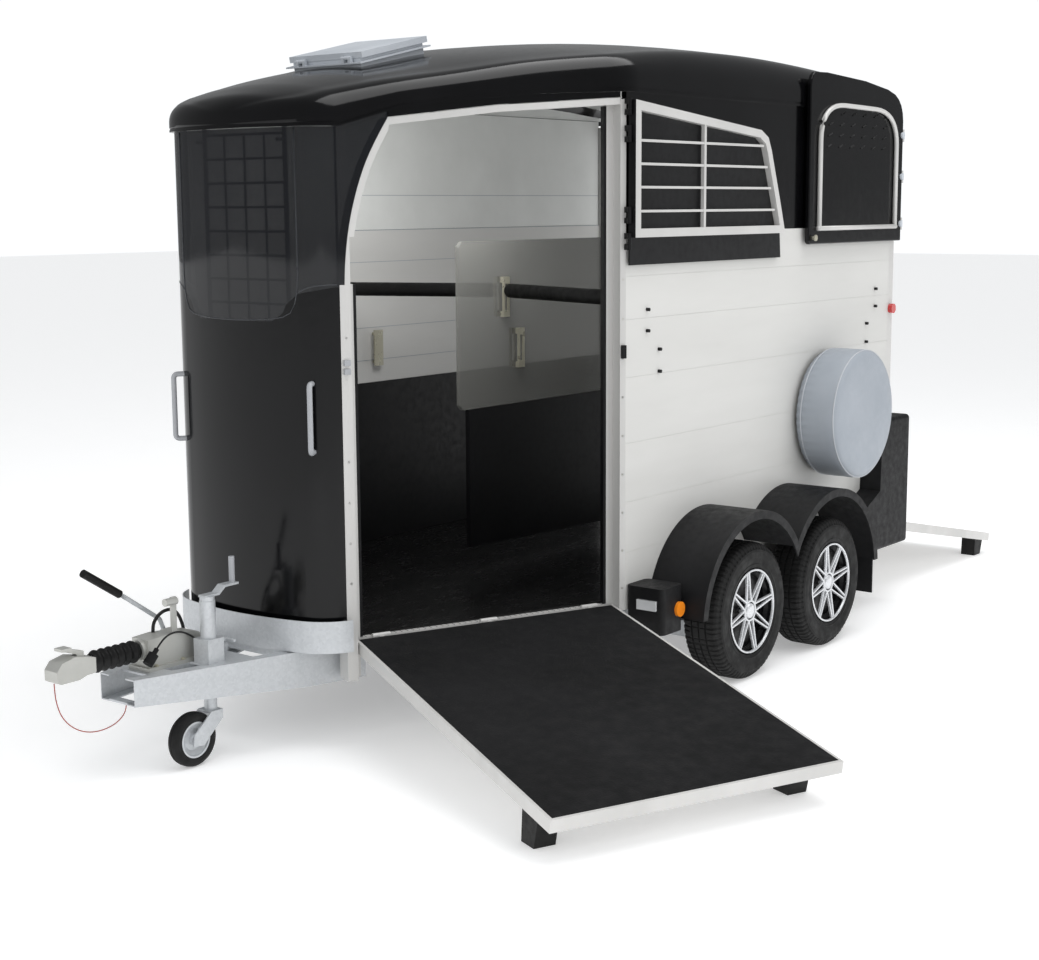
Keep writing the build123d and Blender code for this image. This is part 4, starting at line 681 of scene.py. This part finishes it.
roof_sheet("Roof moulding", visor_rows() + blended_rows(ROOF_ROWS, 6), 0, 22, PAINT, closed_front=True,
           stands_for=("roof_shell",))
CEILING_ROWS = [(x, width, crown, edge + 24) for x, width, crown, edge in blended_rows(ROOF_ROWS[1:], 3)]
roof_sheet("Ceiling sheet", CEILING_ROWS[9:], 22.4, 24.4, INNER_WHITE)


# ---- pieces taken from the part and finished face by face ----
def repainted(name, node, finishes, choose, body, soften=1.2):
    """Stands for a CAD node, shape kept; choose gives a face's finish from its middle, in the drawing."""
    mesh = nodes[node].data.copy()
    mesh.materials.clear()
    piece = piece_from(name, mesh, finishes[0], body, (node,))
    for finish in finishes[1:]:
        mesh.materials.append(finish)
    for polygon in mesh.polygons:
        polygon.material_index = choose((polygon.center - DRAWN) / MM)
    if soften:
        rounded(piece, soften)
    return piece


def around_axis(point, x, y):
    return sqrt((point.x - x) ** 2 + (point.y - y) ** 2)


TAPER = radians(23.2)
ALONG = Vector((-cos(TAPER), sin(TAPER), 0))
INWARD = Vector((sin(TAPER), cos(TAPER), 0))
POST_CORNER = Vector((0, -895, 0))


def in_doorway(s, depth, z, mirrored=False):
    """Drawing point on the tapered wall: s from the rear post, depth into the trailer."""
    point = POST_CORNER + ALONG * s + INWARD * depth
    return (point.x, -point.y if mirrored else point.y, z)


HINGE_Z = 400
RAMP_TILT = asin(250 / 1486)
REAR_TILT = asin(285 / 1412)
RAMP_HINGE = Vector(in_doorway(0, 50, HINGE_Z))
REAR_HINGE_X = 2380
FOOT_DEPTH = 47.5
TREAD_DEPTH = 0.6
TREAD_START_X = 2392


def side_ramp_finish(point):
    """Grip rubber on the feet under the ramp, trim elsewhere."""
    below = -(point - RAMP_HINGE).dot(Vector((0, 0, cos(RAMP_TILT))) - INWARD * sin(RAMP_TILT))
    return 1 if below > FOOT_DEPTH else 0


def rear_ramp_finish(point):
    """Ramp rubber on the walking face, grip rubber on the feet, trim elsewhere."""
    below = -(point.z - HINGE_Z) * cos(REAR_TILT) - (point.x - REAR_HINGE_X) * sin(REAR_TILT)
    if below < TREAD_DEPTH and point.x > TREAD_START_X:
        return 2
    return 1 if below > FOOT_DEPTH else 0


repainted("Side ramp panel", "side_ramp", (TRIM, GRIP), side_ramp_finish, "side_ramp")
repainted("Rear ramp panel", "rear_ramp", (TRIM, GRIP, RAMP_RUBBER), rear_ramp_finish, "rear_ramp")
repainted("Doorway frame", "doorway_frame", (TRIM, SATIN_BLACK),
          lambda point: int((point - POST_CORNER).dot(INWARD) < -0.6), ROOT)
repainted("Head partition panel", "head_partition", (SMOKED_PANEL, PLATED, SATIN_BLACK),
          lambda point: 1 if abs(point.y) > 10.6 else (2 if point.x > 1152 else 0), "partition",
          1.0)
repainted("Handbrake", "handbrake_lever", (ZINC, GRIP), lambda point: int(point.x < -1771),
          "handbrake_lever",
          0.8)
repainted("Winding crank", "jockey_crank", (ZINC, HANDLE), lambda point: int(point.z > 662), "jockey_crank",
          0.8)


def lamp_finish(point):
    """Red at the rear, clear at the front, amber between."""
    if point.x > 2300:
        return 1
    return 2 if point.x < 8 else 0


repainted("Lamp lenses", "lamp_lenses", (LAMP, LAMP_RED, LAMP_CLEAR), lamp_finish, ROOT, 4)
repainted("Body fittings", "body_fittings", (HANDLE, SATIN_BLACK, PLATED),
          lambda point: 1 if abs(point.y) > 890 else (2 if point.y > 800 else 0), ROOT, 0.8)
for node_name, width in (("mudguards", 5), ("lamp_mouldings", 9), ("front_skirt", 2), ("drawbar_frame", 3),
                         ("roof_vent_frame", 3), ("roof_vent_lid", 4), ("rear_frame", 2),
                         ("lower_partition", 3),
                         ("coupling_housing", 4), ("coupling_head", 4), ("coupling_handle", 2)):
    rounded(nodes[node_name], width)


# ---- what repeats: one unit set out on a grid by Geometry Nodes ----
def grid_tree():
    """Node group that sets out its input on a grid of columns and rows, and gives it a finish."""
    tree = bpy.data.node_groups.new("Set out on a grid", "GeometryNodeTree")
    face = tree.interface
    face.new_socket("Unit", in_out="INPUT", socket_type="NodeSocketGeometry")
    for label, kind in (("Columns", "NodeSocketInt"), ("Rows", "NodeSocketInt"), ("Width",
                                                                                  "NodeSocketFloat"),
                        ("Height", "NodeSocketFloat"), ("Finish", "NodeSocketMaterial")):
        face.new_socket(label, in_out="INPUT", socket_type=kind)
    face.new_socket("Result", in_out="OUTPUT", socket_type="NodeSocketGeometry")
    start = tree.nodes.new("NodeGroupInput")
    grid = tree.nodes.new("GeometryNodeMeshGrid")
    spread_out = tree.nodes.new("GeometryNodeInstanceOnPoints")
    real = tree.nodes.new("GeometryNodeRealizeInstances")
    coat = tree.nodes.new("GeometryNodeSetMaterial")
    end = tree.nodes.new("NodeGroupOutput")
    for label, socket in (("Columns", "Vertices X"), ("Rows", "Vertices Y"), ("Width", "Size X"),
                          ("Height", "Size Y")):
        tree.links.new(start.outputs[label], grid.inputs[socket])
    tree.links.new(grid.outputs["Mesh"], spread_out.inputs["Points"])
    tree.links.new(start.outputs["Unit"], spread_out.inputs["Instance"])
    tree.links.new(spread_out.outputs["Instances"], real.inputs["Geometry"])
    tree.links.new(real.outputs["Geometry"], coat.inputs["Geometry"])
    tree.links.new(start.outputs["Finish"], coat.inputs["Material"])
    tree.links.new(coat.outputs["Geometry"], end.inputs["Result"])
    return tree


GRID = grid_tree()


def set_out(name, unit, columns, rows, width, height, where, finish, body):
    """Unit (points in mm, faces) repeated over width by height mm, then moved by the matrix where."""
    mesh = bpy.data.meshes.new(name + " unit")
    mesh.from_pydata([tuple(Vector(point) * MM) for point in unit[0]], [], unit[1])
    build = bmesh.new()
    build.from_mesh(mesh)
    bmesh.ops.recalc_face_normals(build, faces=build.faces)
    build.to_mesh(mesh)
    build.free()
    host = bpy.data.objects.new(name + " host", mesh)
    bpy.context.collection.objects.link(host)
    change = host.modifiers.new("Grid", "NODES")
    change.node_group = GRID
    values = {"Columns": columns, "Rows": rows, "Width": width * MM, "Height": height * MM, "Finish": finish}
    for item in GRID.interface.items_tree:
        if item.item_type == "SOCKET" and item.in_out == "INPUT" and item.name in values:
            change[item.identifier] = values[item.name]
    host.update_tag()
    bpy.context.view_layer.update()
    plain = bpy.data.meshes.new_from_object(host.evaluated_get(bpy.context.evaluated_depsgraph_get()))
    bpy.data.objects.remove(host)
    plain.transform(where)
    return piece_from(name, plain, finish, body)


def facing(origin, across, upwards):
    """Matrix for a flat pattern: x across, y upwards, z out, its middle at a drawing point."""
    x = Vector(across).normalized()
    y = Vector(upwards).normalized()
    turn = Matrix((x, y, x.cross(y))).transposed().to_4x4()
    return Matrix.Translation(at(*origin)) @ turn


def dome(radius, tall, steps=12):
    """Rivet head on z = 0."""
    rings = [(radius, 0), (radius, tall * 0.35), (radius * 0.8, tall * 0.75), (radius * 0.45, tall * 0.96)]
    points = [(r * cos(2 * pi * s / steps), r * sin(2 * pi * s / steps), z) for r,
              z in rings for s in range(steps)]
    points.append((0, 0, tall))
    faces = [tuple(range(steps))[::-1]]
    for ring in range(len(rings) - 1):
        for s in range(steps):
            after = (s + 1) % steps
            faces.append((ring * steps + s, ring * steps + after, (ring + 1) * steps + after,
                          (ring + 1) * steps + s))
    top = (len(rings) - 1) * steps
    faces += [(top + s, top + (s + 1) % steps, len(points) - 1) for s in range(steps)]
    return points, faces


def louvre_unit():
    """Pressed louvre: a slanting half-open scoop."""
    foot = [(-19, -11, 0), (15, 2, 0), (19, 9, 0), (-15, -4, 0)]
    lip = [(-17, -10, 5.5), (15, 2.2, 5.5), (17, 5.5, 2.5), (-16, -6.5, 2.5)]
    return block(foot, lip)


# ---- rear doors folded along the sides ----
def rear_door_pieces(hand, side, free):
    """Moulded door with arched inner tube, louvres, hinges and catch; free is its free edge."""
    body = f"rear_door_{hand}"

    def folded(across, z, out):
        """Drawing point on the folded door: across from the centre line, out from its hinge plane."""
        return at(1481 + across, side * (933 + out), z)

    outline = [(893, 1817), (893, 2400), (886, 2438), (868, 2474), (840, 2502), (800, 2524), (720, 2544),
               (480, 2572), (100, 2591), (free + 36, 2588), (free + 18, 2574), (free + 6, 2554), (free,
                                                                                                  2530),
               (free, 1830), (free + 12, 1817)]
    face = [folded(across, z, 0) for across, z in outline]
    back = [folded(across, z, -22) for across, z in outline]
    rounded(solid(f"Rear door {hand}", *block(face, back), PAINT, body, "black_body",
                  stands_for=(body,)), 5, 3)
    arch = [(800, 1888, 10), (800, 2440, 10), (free + 80, 2452, 10), (free + 80, 1888, 10)]
    path = curved([folded(*point) for point in arch], 0.3, 9)
    parts = [rail(path, 11, 14), rail([folded(811, 1888, 10), folded(free + 69, 1888, 10)], 11, 14)]
    solid(f"Rear door arch {hand}", *joined(parts), TRIM, body, "aluminium_trim", smooth=True)
    hinges = []
    for z in (1900, 2130, 2330):
        hinges.append(lathe([(0.1, 0), (8, 0), (9, 2), (9, 32), (8, 34), (0.1, 34)], at(2400,
                                                                                        side * 919, z - 17),
                            at(2400, side * 919, z + 17), 24))
        hinges.append(lathe([(0.1, 0), (13, 0), (15, 4), (13, 12), (0.1, 14)], folded(874, z, 0),
                            folded(874, z, 20), 24))
    solid(f"Rear door hinges {hand}", *joined(hinges), VENT, body, "grey_plastic")
    set_out(f"Rear door louvres {hand}", louvre_unit(), 6, 4, 560, 150,
            facing((1481 + 410, side * 933.4, 2340), (-side, 0, 0), (0.12, 0, 1)), SATIN_BLACK, body)
    catch = [(0.1, 0), (8, 0), (8, 10), (14, 12), (14, 18), (0.1, 18)]
    solid(f"Rear door catch {hand}", *lathe(catch, folded(free + 40, 1846, 0), folded(free + 40, 1846,
                                                                                      20), 20),
          PLATED, body, "galvanised_steel")


rear_door_pieces("near", -1, -60)
rear_door_pieces("off", 1, 64)


# ---- side top door ----
def top_door_finish(point):
    """Pale frame and bars in front of a black sheet, with black hinges."""
    return int(point.y > -913.2 or around_axis(point, -10.2, -918.9) < 20)


repainted("Side top door", "side_top_door", (TRIM, SATIN_BLACK), top_door_finish, "side_top_door")

# ---- jockey wheel ----
def jockey_wheel_piece():
    """Solid tyre on a pressed rim with a hub."""
    centre = Vector((-1622, -108, 100))
    start = at(centre.x, centre.y - 27.5, centre.z)
    end = at(centre.x, centre.y + 27.5, centre.z)
    tyre = [(66, 6), (72, 2), (84, 1), (93, 4), (98, 11), (100, 20), (100, 24), (98.4, 25), (98.4, 30),
            (100, 31),
            (100, 35), (98, 44), (93, 51), (84, 54), (72, 53), (66, 49)]
    rim = [(66.5, 5), (66.5, 50), (60, 50), (57, 44), (40, 34), (22, 36), (22, 54), (8.2, 54), (8.2, 1),
           (22, 1),
           (22, 19), (40, 21), (57, 11), (60, 5)]
    solid("Jockey wheel tyre", *lathe(tyre, start, end, 96), TYRE, "jockey_wheel", "tyre_rubber",
          smooth=False,
          stands_for=("jockey_wheel",))
    solid("Jockey wheel rim", *lathe(rim, start, end, 72), ZINC, "jockey_wheel", "galvanised_steel")


jockey_wheel_piece()

# ---- breast bars ----
def breast_bar_piece(hand, side):
    """Steel bar with an eye at the wall, in a black foam sleeve."""
    wall = Vector((64.4, side * 798.4, 1632))
    middle = Vector((346, side * 34, 1632))
    run = (middle - wall).normalized()
    across = Vector((-run.y, run.x, 0))
    length = (middle - wall).length
    start, end = at(*wall), at(*middle)
    body = f"breast_bar_{hand}"
    node = f"breast_bar_{hand}"
    foam = [(9, 37), (26, 37), (30, 39), (31, 44)]
    for step in range(1, 24):
        foam.append((31 - 0.5 * sin(step * 1.9) ** 2, 44 + (length - 66) * step / 24))
    foam += [(31, length - 22), (30, length - 17), (26, length - 15), (9, length - 15)]
    sleeve = solid(f"Breast bar foam {hand}", *lathe(foam, start, end, 40), FOAM, body, "foam_pad",
                   smooth=True,
                   stands_for=(node,))
    edge_smooth(sleeve, 40)
    steel = [lathe([(0.1, 12), (8.5, 12), (8.5, length - 3), (7, length - 2), (0.1, length - 2)], start,
                   end, 20)]
    eye = [(8.1, 0), (15, 0), (17, 2), (17, 14), (15, 16), (8.1, 16)]
    steel.append(lathe(eye, at(*(wall - across * 8)), at(*(wall + across * 8)), 28))
    solid(f"Breast bar steel {hand}", *joined(steel), PLATED, body, "galvanised_steel")


for hand, side in (("near", -1), ("off", 1)):
    breast_bar_piece(hand, side)

# ---- coupling bellows ----
def bellows_piece():
    """Folded rubber gaiter; the real one shortens as the coupling is pushed in, this one keeps one length.
    """
    start, end = at(-1975, 0, 443), at(-1771, 0, 443)
    folds = 6
    pitch = 192 / folds
    outer = [(27, 0), (31, 1), (32, 6)]
    for fold in range(folds):
        for step in range(8):
            turn = 2 * pi * step / 8
            outer.append((36.5 - 4.5 * cos(turn), 6 + fold * pitch + pitch * step / 8))
    outer += [(32, 198), (31, 203), (27, 204)]
    inner = [(max(radius - 3, 24.5), reach) for radius, reach in outer[1:-1]][::-1]
    gaiter = solid("Coupling bellows", *lathe(outer + inner, start, end, 48), GRIP, ROOT, "rubber_bellows",
                   smooth=True, stands_for=("coupling_bellows",))
    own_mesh(gaiter)


bellows_piece()

# ---- inside faces and seams ----
def wall_strip(name, points, depth, finish, body=ROOT, material_slot="white_plank"):
    """Thin upright sheet along plan points, from low to high at each, thickness towards the middle."""
    outer = [(x, y, low) for x, y, low, high in points] + [(x, y, high) for x, y, low, high in points][::-1]
    inner = [(x + depth[0], y + depth[1], z) for x, y, z in outer]
    faces_outer = [at(*point) for point in outer]
    faces_inner = [at(*point) for point in inner]
    return solid(name, *block(faces_outer, faces_inner), finish, body, material_slot)


wall_strip("Inner sheet straight", [(4, 872.4, 1892, 2455), (2326, 872.4, 1892, 2455)], (0, -2), INNER_WHITE)
taper = [in_doorway(s, 22.6, 0, True) for s in (4, 400, 800, 1195)]
tops = (2450, 2424, 2380, 2310)
wall_strip("Inner sheet tapered", [(x, y, 1892, top) for (x, y, _), top in zip(taper, tops)],
           (INWARD.x * 2, -INWARD.y * 2), INNER_WHITE)
for label, z in (("lowest", 1275), ("low", 1430), ("middle", 1585), ("high", 1740), ("joint", 1889),
                 ("band", 2052)):
    inset = 30.2 if z < 1890 else 24.8
    wall_strip(f"Wall seam {label}", [(6, 895 - inset, z, z + 2.6), (2320, 895 - inset, z, z + 2.6)],
               (0, -0.7), COVER)
    seam = [in_doorway(s, inset, 0, True) for s in (8, 1190)]
    wall_strip(f"Taper seam {label}", [(x, y, z, z + 2.6) for x, y, _ in seam], (INWARD.x * 0.7,
                                                                                 -INWARD.y * 0.7),
               COVER)

# ---- nose glazing edges ----
def on_nose(y, z, proud=0.0):
    """Drawing point on the nose: a wide front arc, then the tighter corner arc."""
    reach = abs(y)
    if reach <= 302.5:
        x = -1257.4 + 1168.8 - sqrt(1168.8 ** 2 - y ** 2)
    else:
        x = -1053.4 - sqrt(max(170 ** 2 - (reach - 258.5) ** 2, 0))
    return at(x - proud, y, z)


def nose_seams():
    bottom = [(300, 2278), (301, 2100), (302, 1900), (302, 1760), (298, 1700), (288, 1655), (268, 1622),
              (236, 1606),
              (190, 1599), (120, 1594), (60, 1592), (0, 1591)]
    pane = [(y, z) for y, z in bottom] + [(-y, z) for y, z in bottom[-2::-1]]
    parts = [rail([on_nose(y, z, 0.4) for y, z in pane], 2.2, 8)]
    for side in (-1, 1):
        wing = [(302, 1694), (316, 1704), (336, 1713), (360, 1719), (386, 1722), (410, 1723)]
        parts.append(rail([on_nose(side * y, z, 0.4) for y, z in wing], 2.2, 8))
    # The seals' grey, lighter than the paint round them, is a painted highlight line round the pane.
    solid("Nose pane seals", *joined(parts), SEAL_GREY_AND_PAINTED_HIGHLIGHT, ROOT, "black_body", smooth=True)


nose_seams()

# ---- rivets, studs and bolts ----
rivet = dome(5, 3)
post_spot = in_doorway(13, 0, 1090)
set_out("Post rivets", rivet, 1, 9, 0, 1240, facing(post_spot, ALONG, (0, 0, 1)), PLATED, ROOT)
jamb_spot = in_doorway(1198, 0, 1000)
set_out("Jamb rivets", rivet, 1, 8, 0, 1060, facing(jamb_spot, ALONG, (0, 0, 1)), PLATED, ROOT)
threshold = in_doorway(610, 63, 400.2)
set_out("Threshold studs", dome(3.2, 1.2, 8), 46, 2, 1120, 14, facing(threshold, ALONG, INWARD),
        SATIN_BLACK, ROOT)
for side in (-1, 1):
    set_out(f"Housing bolts {'near' if side < 0 else 'off'}", dome(9, 8, 6), 3, 1, 250, 0,
            facing((-1598, side * 50, 382.2), (1, 0, 0), (0, 1, 0)), PLATED, ROOT)
set_out("Skirt rivets", dome(6, 3.5), 7, 1, 1500, 0, facing((1200, -895.2, 410), (1, 0, 0), (0, 0, 1)),
        PLATED, ROOT)


# ---- spare wheel cover ----
def spare_cover_piece():
    """Fitted vinyl cover: crowned face, piped edge, and a gathered hem behind the tyre."""
    front = at(1658, -1125, 1030)
    back = at(1658, -909, 1030)
    profile = [(0.5, 0), (80, 0.3), (160, 1.0), (230, 2.0), (262, 3.0), (280, 5.5), (290, 11), (297,
                                                                                                21),
                                                                                                (300, 36),
               (300.5, 60), (299.5, 90), (300.5, 130), (299, 165), (295, 190), (288, 204), (280, 214),
               (277, 214),
               (284, 200), (291, 188), (295.6, 165), (295.8, 90), (295.4, 40), (293, 20), (284, 9.8),
               (262, 5.2),
               (160, 3.6), (0.5, 3)]

    def pucker(angle, index, radius, reach):
        if 12 <= index <= 17:
            radius += 2.4 * sin(angle * 46) * (1 - abs(index - 14.5) / 4)
        if 7 <= index <= 10:
            radius += 0.5 * sin(angle * 5 + index)
        if 1 <= index <= 4:
            reach += 0.5 * sin(angle * 3 + 0.6) * index / 4
        return radius, reach

    points, faces = lathe(profile, front, back, 276, pucker)
    cover = solid("Spare wheel cover", points, faces, COVER, ROOT, "silver_vinyl", smooth=True,
                  stands_for=("spare_cover",))
    edge_smooth(cover, 50)
    for radius, reach, name in ((296.5, 19, "Cover piping front"), (297, 184, "Cover piping back")):
        ring = [(radius + 3.2 * cos(2 * pi * s / 10), reach + 3.2 * sin(2 * pi * s / 10)) for s in range(10)]
        solid(name, *lathe(ring, front, back, 160), PIPING, ROOT, "silver_vinyl", smooth=True)


spare_cover_piece()

# ---- cables ----
def cable(name, route, diameter, finish, cad_node, body=ROOT, **facts):
    """Free cable on the part's own route."""
    curve = bpy.data.curves.new(name, "CURVE")
    curve.dimensions = "3D"
    spline = curve.splines.new("NURBS")
    spline.points.add(len(route) - 1)
    for point, place_at in zip(spline.points, route):
        point.co = (*at(*place_at), 1)
    spline.order_u = 3
    spline.use_endpoint_u = True
    spline.resolution_u = 12
    curve.bevel_depth = diameter * MM / 2
    curve.bevel_resolution = 4
    curve.use_fill_caps = True
    piece = bpy.data.objects.new(name.replace(" ", "_"), curve)
    bpy.context.collection.objects.link(piece)
    piece.data.materials.append(finish)
    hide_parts(cad_node)
    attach(piece, body)
    return piece


LIGHTING_ROUTE = [(-1411, -51, 392), (-1438, -51, 392), (-1464, -53, 396), (-1490, -56, 407), (-1518,
                                                                                               -58, 426),
                  (-1546, -59, 450), (-1578, -61, 473), (-1614, -64, 490), (-1652, -68, 497), (-1688,
                                                                                               -70, 491),
                  (-1716, -70, 474), (-1736, -70, 453)]
CONDUIT_ROUTE = [(-1672, 24, 487), (-1672, 24, 509), (-1660, 24, 532), (-1634, 26, 550), (-1598, 31, 556),
                 (-1562, 40, 548), (-1530, 51, 526), (-1506, 61, 494), (-1489, 68, 455), (-1480, 71, 414),
                 (-1480, 71, 384)]
BREAKAWAY_ROUTE = [(-1845, -24, 272), (-1845, -22, 256), (-1850, -19, 237), (-1865, -15, 218), (-1892,
                                                                                                -10, 202),
                   (-1930, -5, 193), (-1972, -1, 193), (-2014, 0, 204), (-2052, 1, 224), (-2084, 1, 252),
                   (-2108, 1, 286), (-2122, 0, 324), (-2129, 0, 362), (-2130, 0, 402.5)]

lighting = cable("Lighting cable", LIGHTING_ROUTE, 7, CABLE, "lighting_cable")
conduit = cable("Brake conduit", CONDUIT_ROUTE, 13, CABLE, "brake_conduit")
breakaway = cable("Breakaway cable", BREAKAWAY_ROUTE, 4, WIRE, "breakaway_cable")
